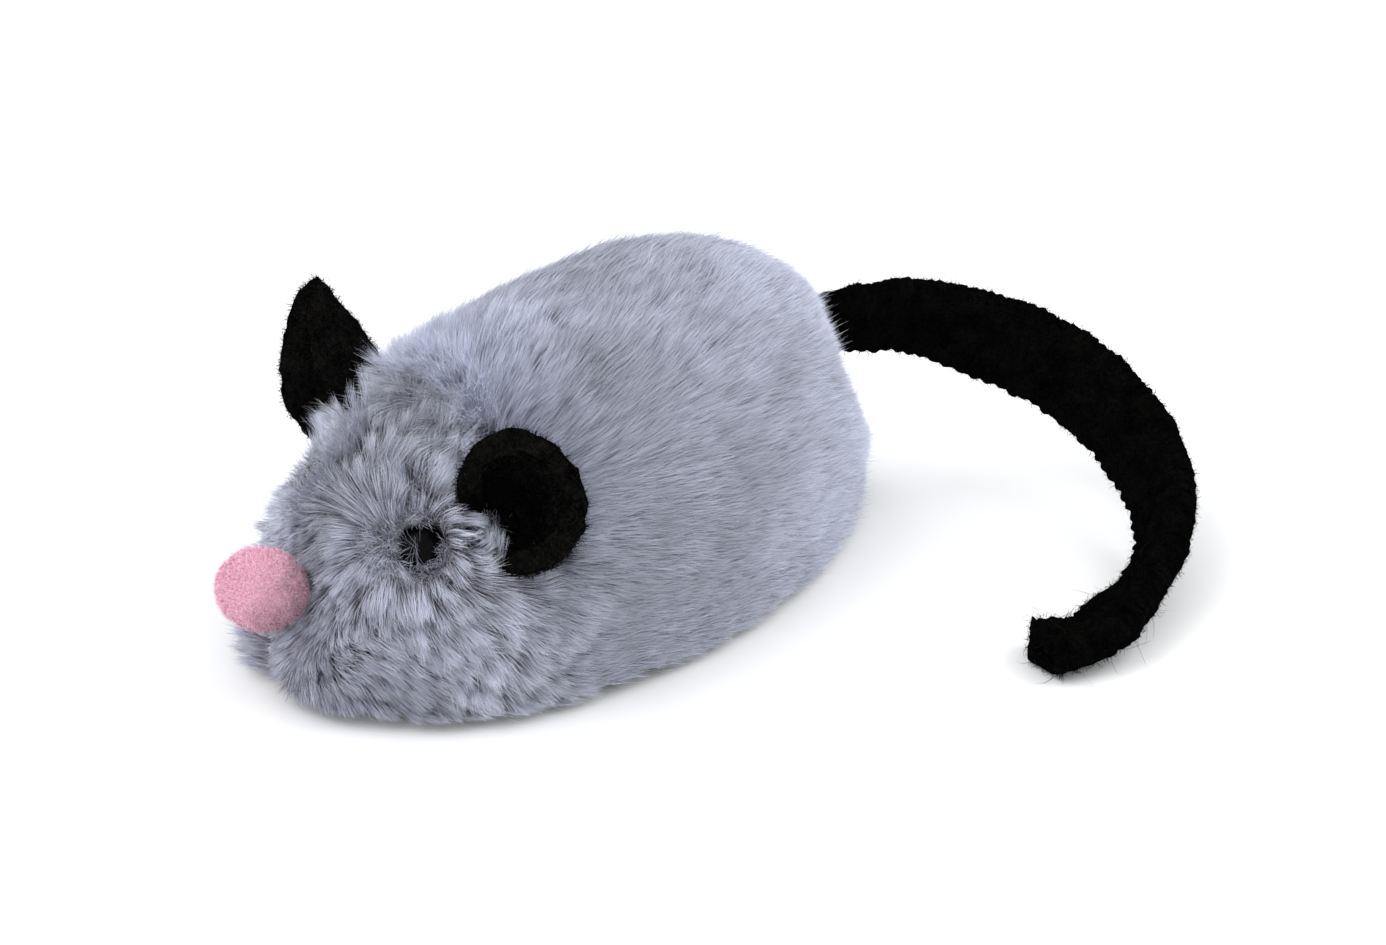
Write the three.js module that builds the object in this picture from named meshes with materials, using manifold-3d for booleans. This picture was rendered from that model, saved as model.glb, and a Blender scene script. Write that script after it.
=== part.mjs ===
// A plush mouse for a cat. A fur cover is stretched over a hard shell, and a pull-back motor
// inside drives two rubber wheels under the rump. The nose points along -Y, +X is the mouse's
// left, and the wheels stand on Z = 0. All lengths are in millimetres.
import * as THREE from "three";
import { ConvexGeometry } from "three/addons/geometries/ConvexGeometry.js";
import { LoftGeometry } from "three/addons/geometries/LoftGeometry.js";
import { mergeVertices } from "three/addons/utils/BufferGeometryUtils.js";
import Module from "manifold-3d";

const wasm = await Module();
wasm.setup();

// Driving dimensions
const body = {
  length: 80, // from the snout to the rump, over the fur
  width: 47,
  height: 37.6,
  hem: 1.5, // the fur's lower edge above the floor
  coverThickness: 4.7, // cloth and pile together
  rings: 20,
  arcs: 16,
};
const fit = {
  soft: 0.3, // between a soft piece and what it touches
  seat: 0.05, // round a pin in a fixed seat
  running: 0.1, // round a shaft that turns
  press: 0.1, // between two parts that are screwed together
  overrun: 1, // how far a cutting solid passes what it cuts
};
const mergeDistance = 1e-4;
const bodyShares = {
  planShift: 0.8, // under 1 puts the widest place ahead of the middle
  planFullness: 0.56,
  ridgeShift: 1.38, // over 1 puts the highest place behind the middle
  ridgeFullness: 0.36,
  sideRoundness: 1.1,
  topRoundness: 0.92,
  endShare: 0.004,
};
const shell = {
  wall: 1.2,
  rim: 2.6, // lower edge above the floor
  postRadius: 2.2,
  pilotRadius: 0.8,
  pilotDepth: 8,
  clampThickness: 1,
  clampLength: 6,
  clampSpread: 6,
};
const plate = {
  thickness: 1.2,
  edgeGap: 0.25,
  cheekThickness: 1.2,
  cheekLength: 5,
  cheekCover: 1.97, // above the axle's middle
  snapWidth: 1.5,
  stopThickness: 1,
  stopHeight: 4,
  railHeight: 3.4,
};
const tyre = { thickness: 1.8, chamfer: 0.4, grooveWidth: 0.7, grooveDepth: 0.3 };
const hub = { rim: 1, web: 2.2, boss: 2.4 };
const frontWheel = { chamfer: 0.4, rim: 1.1, web: 1.1, boss: 1.9 };
const rearAxle = { radius: 1, overhang: 0.3 };
const frontAxle = { radius: 0.9, overhang: 0.4 };
const axleShares = { behindMiddle: 0.1375, aheadOfMiddle: 0.2625 }; // of the body's length
const wheelSides = 20;
const pinSides = 12;
const wheelWell = { side: 0.3, end: 0.5 };
// The motor and the wheels are sized to the body that they sit in
const driveShares = {
  gearModule: 0.00625, // of the body's length
  frontRadius: 0.06875, // of the body's length
  motorWidth: 0.6936, // of half the width inside the shell, as are the next three
  tyreWidth: 0.2428,
  frontWidth: 0.1503,
  cheekInside: 0.289,
};

const gears = {
  pinionTeeth: 10,
  clutchTeeth: 26,
  clutchPinionTeeth: 10,
  springTeeth: 28,
  pressureAngle: 20, // degrees
  clutchAngle: 46, // degrees that the clutch arbor lies above the level, seen from the axle
  springAngle: 0, // the same for the spring arbor, seen from the clutch arbor
};
const gearShares = { addendum: 0.9, dedendum: 1.15, backlash: 0.14 };
// Widths along the shafts, as shares of the width inside the motor
const layerShares = {
  spring: 0.4135,
  springGear: 0.1923,
  clutchPinion: 0.2308,
  clutchGear: 0.1731,
  axleGear: 0.2115,
};
const motor = {
  wall: 0.8,
  floorClearance: 0.15, // between the case and the base plate
  toothClearance: 0.2, // between the axle's gear and the floor of the case
  headroom: 0.5, // between the teeth and the case
  arborRadius: 0.8,
  gearSpacing: 0.3,
  spacerRadius: 1.6,
  lidBossRadius: 1.4,
  lidPilotRadius: 0.55,
  lidPilotDepth: 4,
  rearScrewAngle: -10, // degrees from the level, seen from the clutch arbor
  outlineSteps: 16,
};
const spring = { thickness: 0.25, turns: 5.5, stepsPerTurn: 16, barrelWall: 0.6 };
const springShares = { outer: 0.871, inner: 0.314, barrel: 0.9286 }; // of the spring gear's radius
const caseScrew = { headRadius: 1.9, headHeight: 1, shankRadius: 0.7, length: 7.5, tip: 0.8 };
const lidScrew = { headRadius: 1.1, headHeight: 0.5, shankRadius: 0.45, length: 3.8, tip: 0.5 };
const screwShares = { front: 0.3375, rear: 0.325, spread: 0.213 }; // of the body's length and width

const ear = {
  baseRadius: 1.6,
  rimRadius: 7,
  thickness: 1.7,
  rootDepth: 3, // how far the felt is sewn in below the fur
  backHeight: 12,
  lobeHeight: 5.6,
  steps: 12,
  rises: 4,
};
const earShares = { along: 0.257, around: 0.248, halfSpread: 0.6, flare: 0.37, rise: 1.35 };
const eye = {
  radius: 2.6,
  domeHeight: 2.3,
  flange: 0.5,
  seatDepth: 2.9, // how far the eye sits below the fur
  shankRadius: 0.8,
  shankLength: 5.2,
  washerRadius: 2.2,
  washerThickness: 0.6,
  rows: 4,
};
const eyeShares = { along: 0.155, around: 0.296 };
const nose = { width: 10.2, height: 8.8, depth: 9.8, sides: 18, rows: 12 };
const noseShares = { ahead: 0.995, rise: 0.316 }; // of the body's half length and height
const tail = {
  width: 9.2,
  thickness: 3.8,
  seamThickness: 1.7,
  rootDepth: 3.6,
  sideReach: 46,
  backReach: 22.5,
  tipHeight: 2.3,
  steps: 34,
  foldSteps: 5,
};
const tailShares = {
  rootBehind: 0.93, // of the body's half length
  rootRise: 0.54, // of the body's height over the hem
  pocketReach: 0.2, // how much of the tail the pocket in the fur follows
  // Sideways, backward and downward, as shares of the three reaches
  route: [
    [0, 0, 0],
    [0.045, 0.4, 0.065],
    [0.142, 0.675, 0.19],
    [0.27, 0.91, 0.33],
    [0.435, 1, 0.48],
    [0.606, 0.965, 0.63],
    [0.763, 0.81, 0.76],
    [0.885, 0.525, 0.86],
    [0.956, 0.19, 0.93],
    [0.997, -0.07, 0.97],
    [0.965, -0.315, 0.99],
    [0.9, -0.47, 1],
  ],
  // Turn of the section in quarter turns, and its width, at even steps from root to tip
  section: [
    [0, 0.8],
    [0, 0.98],
    [0.42, 1],
    [0.42, 0.92],
    [0.36, 0.9],
    [0.72, 0.86],
    [1.1, 0.84],
  ],
};

const materials = {
  fur: new THREE.MeshStandardMaterial({ color: 0x989cab, roughness: 0.95, metalness: 0 }),
  felt: new THREE.MeshStandardMaterial({ color: 0x0b0c0c, roughness: 1, metalness: 0 }),
  pompom: new THREE.MeshStandardMaterial({ color: 0xd9a5b9, roughness: 1, metalness: 0 }),
  eye: new THREE.MeshStandardMaterial({ color: 0x050505, roughness: 0.12, metalness: 0 }),
  shell: new THREE.MeshStandardMaterial({ color: 0x6a6c70, roughness: 0.55, metalness: 0 }),
  plate: new THREE.MeshStandardMaterial({ color: 0x1d1e20, roughness: 0.5, metalness: 0 }),
  motor: new THREE.MeshStandardMaterial({ color: 0xe4e2da, roughness: 0.4, metalness: 0 }),
  gear: new THREE.MeshStandardMaterial({ color: 0xf1efe6, roughness: 0.35, metalness: 0 }),
  wheel: new THREE.MeshStandardMaterial({ color: 0x26272a, roughness: 0.4, metalness: 0 }),
  rubber: new THREE.MeshStandardMaterial({ color: 0x121212, roughness: 0.85, metalness: 0 }),
  steel: new THREE.MeshStandardMaterial({ color: 0xb9bcc0, roughness: 0.3, metalness: 1 }),
};

// Sizes and places that follow from the ones above
const plateTop = shell.rim + plate.thickness;
const shellInset = body.coverThickness + fit.soft;
const innerInset = shellInset + shell.wall;
const innerHalfWidth = body.width / 2 - innerInset;
const gearModule = driveShares.gearModule * body.length;
const addendum = gearShares.addendum * gearModule;
const caseFloor = plateTop + motor.floorClearance + motor.wall;
// The tyres are large enough to lift the axle's gear clear of the case
const rearAxleHeight = caseFloor + motor.toothClearance + addendum + gearRadius(gears.pinionTeeth);
const tyreRadius = rearAxleHeight / Math.cos(Math.PI / wheelSides);
const tyreInner = tyreRadius - tyre.thickness;
const tyreWidth = driveShares.tyreWidth * innerHalfWidth;
const frontRadius = driveShares.frontRadius * body.length;
const frontWidth = driveShares.frontWidth * innerHalfWidth;
const cheekInside = driveShares.cheekInside * innerHalfWidth;
const frontAxleHeight = frontRadius * Math.cos(Math.PI / wheelSides);
const cheekTop = frontAxleHeight + plate.cheekCover;
const halfMotor = (driveShares.motorWidth * innerHalfWidth) / 2;
const motorInside = 2 * (halfMotor - motor.wall);
const rearWheelInside = halfMotor + motor.wall;
const frontWheelInside = cheekInside + plate.cheekThickness + plate.edgeGap * 2;
const rad = THREE.MathUtils.degToRad;

function gearRadius(teeth) {
  return (gearModule * teeth) / 2;
}
const springOuter = springShares.outer * gearRadius(gears.springTeeth);
const springInner = springShares.inner * gearRadius(gears.springTeeth);
const barrelInner = springShares.barrel * gearRadius(gears.springTeeth);
const barrelOuter = barrelInner + spring.barrelWall;
const springWidth = layerShares.spring * motorInside;
const springGearWidth = layerShares.springGear * motorInside;
const clutchPinionWidth = layerShares.clutchPinion * motorInside;
const clutchGearWidth = layerShares.clutchGear * motorInside;
const axleGearWidth = layerShares.axleGear * motorInside;
const clutchReach = gearRadius(gears.pinionTeeth) + gearRadius(gears.clutchTeeth);
const springReach = gearRadius(gears.clutchPinionTeeth) + gearRadius(gears.springTeeth);
// Places in the plane of the gears, as [y, z]
const axlePlace = new THREE.Vector2(axleShares.behindMiddle * body.length, rearAxleHeight);
const clutchPlace = stepFrom(axlePlace, clutchReach, rad(180 - gears.clutchAngle));
const springPlace = stepFrom(clutchPlace, springReach, rad(180 - gears.springAngle));
const frontPlace = new THREE.Vector2(-axleShares.aheadOfMiddle * body.length, frontAxleHeight);

function stepFrom(place, distance, angle) {
  return new THREE.Vector2(
    place.x + distance * Math.cos(angle),
    place.y + distance * Math.sin(angle),
  );
}

// Solids

function solidOf(geometry) {
  const bare = new THREE.BufferGeometry();
  bare.setAttribute("position", geometry.getAttribute("position"));
  bare.setIndex(geometry.index);
  const merged = mergeVertices(bare, mergeDistance);
  return new wasm.Manifold(
    new wasm.Mesh({
      numProp: 3,
      vertProperties: merged.attributes.position.array,
      triVerts: new Uint32Array(merged.index.array),
    }),
  );
}

function geometryOf(solid) {
  const mesh = solid.getMesh();
  const geometry = new THREE.BufferGeometry();
  geometry.setAttribute("position", new THREE.BufferAttribute(mesh.vertProperties, mesh.numProp));
  geometry.setIndex(new THREE.BufferAttribute(mesh.triVerts, 1));
  return geometry;
}

function cutAway(geometry, tools) {
  return geometryOf(
    tools.reduce((solid, tool) => solid.subtract(solidOf(tool)), solidOf(geometry)),
  );
}

function joined(geometries) {
  return geometryOf(geometries.map(solidOf).reduce((all, next) => all.add(next)));
}

function inside(geometry, bound) {
  return geometryOf(solidOf(geometry).intersect(solidOf(bound)));
}

// A box from its lowest to its highest corner
function boxBetween(low, high) {
  const size = new THREE.Vector3(...high).sub(new THREE.Vector3(...low));
  const box = new THREE.BoxGeometry(size.x, size.y, size.z);
  return box.translate(low[0] + size.x / 2, low[1] + size.y / 2, low[2] + size.z / 2);
}

// A round bar along X whose flats, not its corners, point down
function barAlongX(radius, from, to, place, sides = pinSides) {
  const bar = new THREE.CylinderGeometry(radius, radius, to - from, sides, 1, false, Math.PI / sides);
  return bar.rotateZ(-Math.PI / 2).translate((from + to) / 2, place.x, place.y);
}

function barUpright(radius, bottom, top, x, y, sides = pinSides) {
  const bar = new THREE.CylinderGeometry(radius, radius, top - bottom, sides);
  return bar.rotateX(Math.PI / 2).translate(x, y, (bottom + top) / 2);
}

// A closed profile of [radius, x] points turned round the X axis
function turnedAlongX(profile, sides = wheelSides) {
  const points = [...profile, profile[0]].map(([radius, x]) => new THREE.Vector2(radius, x));
  return new THREE.LatheGeometry(points, sides, Math.PI / sides).rotateZ(-Math.PI / 2);
}

// The drawing plane of gears and cases is Y and Z, and thickness runs along X
const sideways = new THREE.Matrix4().makeBasis(
  new THREE.Vector3(0, 1, 0),
  new THREE.Vector3(0, 0, 1),
  new THREE.Vector3(1, 0, 0),
);

// The rounded back of the mouse

function planHalfWidth(along, inset) {
  const swell = Math.sin(Math.PI * along ** bodyShares.planShift) ** bodyShares.planFullness;
  return (body.width / 2 - inset) * swell;
}

function ridgeRise(along, inset) {
  const swell = Math.sin(Math.PI * along ** bodyShares.ridgeShift) ** bodyShares.ridgeFullness;
  return (body.height - inset - body.hem) * swell;
}

// A point of the back: along runs from the snout, 0, to the rump, 1, and around from the
// left hem, 0, over the ridge to the right hem, a half turn
function backPoint(along, around, inset) {
  const across = Math.cos(around);
  const up = Math.sin(around);
  return new THREE.Vector3(
    planHalfWidth(along, inset) * Math.sign(across) * Math.abs(across) ** bodyShares.sideRoundness,
    (along - 1 / 2) * (body.length - 2 * inset),
    body.hem + ridgeRise(along, inset) * Math.abs(up) ** bodyShares.topRoundness,
  );
}

// The height at a share of the way from the hem to the top
function heightOf(share) {
  return body.hem + share * (body.height - body.hem);
}

function ringPlaces(count) {
  const free = 1 - 2 * bodyShares.endShare;
  return Array.from(
    { length: count + 1 },
    (_, i) => bodyShares.endShare + (free * (1 - Math.cos((Math.PI * i) / count))) / 2,
  );
}

// The whole back as a solid, drawn in by an inset and carried down by a skirt below the hem
function backForm(inset, skirt = 0) {
  const sections = ringPlaces(body.rings).map((along) => {
    const arc = Array.from({ length: body.arcs + 1 }, (_, j) =>
      backPoint(along, Math.PI * (1 - j / body.arcs), inset),
    );
    if (skirt === 0) return arc;
    const drop = new THREE.Vector3(0, 0, -skirt);
    return [arc[0].clone().add(drop), ...arc, arc[arc.length - 1].clone().add(drop)];
  });
  return new LoftGeometry(sections, { capStart: true, capEnd: true });
}

// A place on the fur with its outward direction, and the ways forward and sideways from there
function standOn(along, around, side) {
  const step = bodyShares.endShare;
  const turn = side > 0 ? around : Math.PI - around;
  const place = backPoint(along, turn, 0);
  const forward = backPoint(along - step, turn, 0).sub(place).normalize();
  const across = backPoint(along, turn - step, 0).sub(place).normalize();
  const out = new THREE.Vector3().crossVectors(forward, across).normalize();
  const frame = new THREE.Matrix4().makeBasis(
    new THREE.Vector3().crossVectors(forward, out),
    forward,
    out,
  );
  return frame.setPosition(place);
}

// Ears

// The felt is a disc with a slit, drawn into a cup that opens forward. Its section is swept
// round the slit from lobe to lobe, and grow widens it for the pocket in the fur
function earForm(side, grow = 0) {
  const spread = Math.PI * earShares.halfSpread + grow / ear.baseRadius;
  const sections = Array.from({ length: ear.steps + 1 }, (_, i) =>
    earSection(spread * ((2 * i) / ear.steps - 1), grow),
  );
  const felt = new LoftGeometry(sections, { capStart: true, capEnd: true });
  return felt.applyMatrix4(standOn(earShares.along, Math.PI * earShares.around, side));
}

function earSection(turn, grow) {
  const fade = Math.abs(turn) / (Math.PI * earShares.halfSpread);
  const height = THREE.MathUtils.lerp(ear.backHeight, ear.lobeHeight, fade ** 2);
  const half = ear.thickness / 2 + grow;
  const line = Array.from({ length: ear.rises + 1 }, (_, j) => {
    const share = j / ear.rises;
    return new THREE.Vector2(
      THREE.MathUtils.lerp(ear.baseRadius, ear.rimRadius, share ** earShares.flare),
      THREE.MathUtils.lerp(-ear.rootDepth - grow, height, share ** earShares.rise),
    );
  });
  const outer = line.map((point, j) => point.clone().addScaledVector(sideOf(line, j), half));
  const inner = line.map((point, j) => point.clone().addScaledVector(sideOf(line, j), -half));
  return [...outer.reverse(), ...inner].map(
    (point) => new THREE.Vector3(Math.sin(turn) * point.x, -Math.cos(turn) * point.x, point.y),
  );
}

// The direction square to a line of 2-D points at one of them
function sideOf(line, index) {
  const before = line[Math.max(index - 1, 0)];
  const after = line[Math.min(index + 1, line.length - 1)];
  const run = after.clone().sub(before).normalize();
  return new THREE.Vector2(run.y, -run.x);
}

// Eyes and the washers that lock them

function eyeForm(side, grow = 0) {
  const radius = eye.radius + grow;
  const top = grow ? eye.seatDepth + fit.overrun : eye.domeHeight;
  const dome = Array.from({ length: eye.rows }, (_, i) => {
    const turn = (Math.PI * i) / (2 * eye.rows);
    return new THREE.Vector2(radius * Math.cos(turn), top * Math.sin(turn));
  });
  if (grow) dome.push(new THREE.Vector2(radius, top));
  const profile = [
    new THREE.Vector2(0, -eye.flange - eye.shankLength),
    new THREE.Vector2(eye.shankRadius + grow, -eye.flange - eye.shankLength),
    new THREE.Vector2(eye.shankRadius + grow, -eye.flange - grow),
    new THREE.Vector2(radius, -eye.flange - grow),
    ...dome,
    new THREE.Vector2(0, top),
  ];
  return onEyeSeat(new THREE.LatheGeometry(profile, pinSides), side);
}

function onEyeSeat(turned, side) {
  const seat = turned.rotateX(Math.PI / 2).translate(0, 0, -eye.seatDepth);
  return seat.applyMatrix4(standOn(eyeShares.along, Math.PI * eyeShares.around, side));
}

const washerDrop = innerInset - eye.seatDepth + fit.soft;

function eyeWasher(side) {
  const hole = eye.shankRadius + fit.seat;
  const profile = [
    new THREE.Vector2(hole, -washerDrop - eye.washerThickness),
    new THREE.Vector2(eye.washerRadius, -washerDrop - eye.washerThickness),
    new THREE.Vector2(eye.washerRadius, -washerDrop),
    new THREE.Vector2(hole, -washerDrop),
    new THREE.Vector2(hole, -washerDrop - eye.washerThickness),
  ];
  return onEyeSeat(new THREE.LatheGeometry(profile, pinSides), side);
}

// The flat that the washer bears on inside the shell
function washerSpotFace(side) {
  const face = new THREE.CylinderGeometry(
    eye.washerRadius + fit.soft,
    eye.washerRadius + fit.soft,
    eye.shankLength,
    pinSides,
  );
  return onEyeSeat(face.translate(0, fit.seat - washerDrop - eye.shankLength / 2, 0), side);
}

// Nose

function pompom(grow = 0) {
  const ball = new THREE.SphereGeometry(1, nose.sides, nose.rows);
  ball.rotateX(Math.PI / 2);
  ball.scale(nose.width / 2 + grow, nose.depth / 2 + grow, nose.height / 2 + grow);
  return ball.translate(0, (-noseShares.ahead * body.length) / 2, heightOf(noseShares.rise));
}

// Tail

const tailRoot = new THREE.Vector3(
  0,
  (tailShares.rootBehind * body.length) / 2,
  heightOf(tailShares.rootRise),
);
const tailReach = new THREE.Vector3(tail.sideReach, tail.backReach, tail.tipHeight - tailRoot.z);
const tailRoute = new THREE.CatmullRomCurve3([
  tailRoot.clone().add(new THREE.Vector3(0, -tail.rootDepth, 0)),
  ...tailShares.route.map((shares) => new THREE.Vector3(...shares).multiply(tailReach).add(tailRoot)),
]);
const tailSections = new THREE.SplineCurve(
  tailShares.section.map(([turn, width]) => new THREE.Vector2((turn * Math.PI) / 2, width * tail.width)),
);

// The strip is folded lengthwise: a round fold on one edge and a flat stitched seam on the other
function tailForm(grow = 0, until = 1) {
  const steps = Math.ceil(tail.steps * until);
  const sections = Array.from({ length: steps + 1 }, (_, i) => tailSection((until * i) / steps, grow));
  return new LoftGeometry(sections, { capStart: true, capEnd: true });
}

function tailSection(share, grow) {
  const place = tailRoute.getPointAt(share);
  const run = tailRoute.getTangentAt(share);
  const level = new THREE.Vector3(run.y, -run.x, 0).normalize();
  const upright = new THREE.Vector3().crossVectors(level, run);
  const { x: angle, y: width } = tailSections.getPoint(share);
  const fold = upright.clone().multiplyScalar(Math.cos(angle)).addScaledVector(level, -Math.sin(angle));
  const face = new THREE.Vector3().crossVectors(run, fold);
  const half = width / 2 + grow;
  const foldRadius = tail.thickness / 2 + grow;
  const seamHalf = tail.seamThickness / 2 + grow;
  const round = Array.from({ length: tail.foldSteps + 1 }, (_, j) => {
    const turn = (Math.PI * j) / tail.foldSteps;
    return [half - foldRadius * (1 - Math.sin(turn)), foldRadius * Math.cos(turn)];
  });
  const outline = [[-half, seamHalf], ...round, [-half, -seamHalf]].reverse();
  return outline.map(([along, across]) =>
    place.clone().addScaledVector(fold, along).addScaledVector(face, across),
  );
}

// Cover and shell

function plushCover() {
  const hollow = backForm(body.coverThickness, fit.overrun);
  const pockets = [pompom(fit.soft), tailForm(fit.soft, tailShares.pocketReach)];
  for (const side of [1, -1]) pockets.push(earForm(side, fit.soft), eyeForm(side, fit.soft));
  return cutAway(backForm(0), [hollow, ...pockets]);
}

function screwPosts() {
  const rear = screwShares.rear * body.length;
  const spread = (screwShares.spread * body.width) / 2;
  return [
    [0, -screwShares.front * body.length],
    [spread, rear],
    [-spread, rear],
  ];
}

function bodyShell() {
  const outer = backForm(shellInset);
  const cavity = backForm(innerInset, fit.overrun);
  const posts = screwPosts().map(([x, y]) =>
    inside(barUpright(shell.postRadius, plateTop + fit.press, body.height, x, y), outer),
  );
  const pilots = screwPosts().map(([x, y]) =>
    barUpright(shell.pilotRadius, plateTop, plateTop + shell.pilotDepth, x, y),
  );
  const below = boxBetween(
    [-body.width, -body.length, -body.height],
    [body.width, body.length, shell.rim],
  );
  const shape = joined([cutAway(outer, [cavity]), ...posts, ...motorClamps(outer)]);
  const seats = [1, -1].flatMap((side) => [washerSpotFace(side), eyeForm(side, fit.running)]);
  return cutAway(shape, [below, ...pilots, ...seats]);
}

// Two ribs under the roof that hold the motor down
function motorClamps(outer) {
  const bottom = motorTop() + fit.press;
  return [1, -1].map((side) => {
    const middle = (side * shell.clampSpread) / 2;
    const rib = boxBetween(
      [middle - shell.clampThickness / 2, springPlace.x - shell.clampLength / 2, bottom],
      [middle + shell.clampThickness / 2, springPlace.x + shell.clampLength / 2, body.height],
    );
    return inside(rib, outer);
  });
}

// Base plate

function planOutline(inset) {
  const places = ringPlaces(body.rings);
  const left = places.map((along) => planPoint(along, inset, 1));
  const right = places.map((along) => planPoint(along, inset, -1));
  return new THREE.Shape([...left, ...right.reverse()]);
}

function planPoint(along, inset, side) {
  const y = (along - 1 / 2) * (body.length - 2 * inset);
  return new THREE.Vector2(side * planHalfWidth(along, inset), y);
}

function wheelSlot(side, inner, width, place, radius) {
  const depth = place.y - plateTop;
  const halfChord = Math.sqrt(radius ** 2 - depth ** 2) + wheelWell.end;
  const reach = [inner - wheelWell.side, inner + width + wheelWell.side].map((x) => side * x);
  return boxBetween(
    [Math.min(...reach), place.x - halfChord, shell.rim - fit.overrun],
    [Math.max(...reach), place.x + halfChord, plateTop + fit.overrun],
  );
}

function screwSink(screw, x, y) {
  const cone = new THREE.CylinderGeometry(
    screw.shankRadius + fit.running,
    screw.headRadius + fit.running,
    screw.headHeight,
    pinSides,
  );
  return cone.rotateX(Math.PI / 2).translate(x, y, shell.rim + screw.headHeight / 2);
}

function basePlate() {
  const slab = new THREE.ExtrudeGeometry(planOutline(innerInset + plate.edgeGap), {
    depth: plate.thickness,
    bevelEnabled: false,
  }).translate(0, 0, shell.rim);
  const cuts = [];
  for (const side of [1, -1]) {
    cuts.push(wheelSlot(side, rearWheelInside, tyreWidth, axlePlace, tyreRadius));
    cuts.push(wheelSlot(side, frontWheelInside, frontWidth, frontPlace, frontRadius));
  }
  for (const [x, y] of screwPosts()) {
    const bottom = shell.rim - fit.overrun;
    cuts.push(screwSink(caseScrew, x, y));
    cuts.push(barUpright(caseScrew.shankRadius + fit.running, bottom, plateTop + fit.overrun, x, y));
  }
  const bed = joined([slab, ...axleCheeks(), ...motorCradle()]);
  return cutAway(bed, [...cuts, ...axleSnaps()]);
}

// Two upright cheeks carry the front axle, which snaps in from above
function axleCheeks() {
  return [1, -1].map((side) => {
    const reach = [cheekInside, cheekInside + plate.cheekThickness].map((x) => side * x);
    return boxBetween(
      [Math.min(...reach), frontPlace.x - plate.cheekLength / 2, shell.rim],
      [Math.max(...reach), frontPlace.x + plate.cheekLength / 2, cheekTop],
    );
  });
}

function axleSnaps() {
  const reach = cheekInside + plate.cheekThickness + fit.press;
  return [
    barAlongX(frontAxle.radius + fit.running, -reach, reach, frontPlace),
    boxBetween(
      [-reach, frontPlace.x - plate.snapWidth / 2, frontPlace.y],
      [reach, frontPlace.x + plate.snapWidth / 2, cheekTop + fit.overrun],
    ),
  ];
}

// Stops ahead of and behind the motor, and rails beside its front half
function motorCradle() {
  const [front, rear] = motorEnds();
  const stop = (from, to) =>
    boxBetween([-halfMotor, from, shell.rim], [halfMotor, to, plateTop + plate.stopHeight]);
  const rails = [1, -1].map((side) => {
    const inner = halfMotor + fit.soft;
    const reach = [inner, inner + plate.stopThickness].map((x) => side * x);
    return boxBetween(
      [Math.min(...reach), front, shell.rim],
      [Math.max(...reach), springPlace.x + shell.clampLength / 2, plateTop + plate.railHeight],
    );
  });
  return [
    stop(front - fit.soft - plate.stopThickness, front - fit.soft),
    stop(rear + fit.soft, rear + fit.soft + plate.stopThickness),
    ...rails,
  ];
}

// Motor

// Circles that the motor's outline goes round, as place and radius inside the wall
function outlineCircles() {
  const reach = addendum + motor.headroom;
  const bosses = lidScrewPlaces().map((place) => [place, motor.lidBossRadius - motor.wall]);
  return [
    [axlePlace, gearRadius(gears.pinionTeeth) + reach],
    [clutchPlace, gearRadius(gears.clutchTeeth) + reach],
    [springPlace, Math.max(gearRadius(gears.springTeeth) + reach, barrelOuter)],
    ...bosses,
  ];
}

// One screw at the lower front corner and one behind the clutch gear
function lidScrewPlaces() {
  const clearOf = motor.lidBossRadius + addendum + fit.running;
  const springEdge = gearRadius(gears.springTeeth) + motor.headroom + addendum;
  const front = springPlace.x - springEdge + motor.lidBossRadius / 2;
  return [
    new THREE.Vector2(front, motorBottom() + motor.lidBossRadius),
    stepFrom(clutchPlace, gearRadius(gears.clutchTeeth) + clearOf, rad(motor.rearScrewAngle)),
  ];
}

function motorBottom() {
  return plateTop + motor.floorClearance;
}

function motorTop() {
  return springPlace.y + gearRadius(gears.springTeeth) + addendum + motor.headroom + motor.wall;
}

function motorEnds() {
  const ends = outlineCircles().map(([place, radius]) => [
    place.x - radius - motor.wall,
    place.x + radius + motor.wall,
  ]);
  return [Math.min(...ends.map(([front]) => front)), Math.max(...ends.map(([, rear]) => rear))];
}

// The motor's outline as a solid between two planes, with the wall left out or added
function motorBlock(wall, from, to) {
  const bottom = motorBottom() + motor.wall - wall;
  const points = [];
  for (const [place, radius] of outlineCircles()) {
    for (let i = 0; i < motor.outlineSteps; i++) {
      const edge = stepFrom(place, radius + wall, (2 * Math.PI * i) / motor.outlineSteps);
      for (const x of [from, to]) points.push(new THREE.Vector3(x, edge.x, Math.max(edge.y, bottom)));
    }
  }
  return new ConvexGeometry(points);
}

function shaftBores(from, to) {
  const arborHole = motor.arborRadius + fit.seat;
  return [
    barAlongX(rearAxle.radius + fit.running, from, to, axlePlace),
    barAlongX(arborHole, from, to, clutchPlace),
    barAlongX(arborHole, from, to, springPlace),
  ];
}

const lidInside = halfMotor - motor.wall;
const tubFloor = motor.wall - halfMotor;

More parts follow.
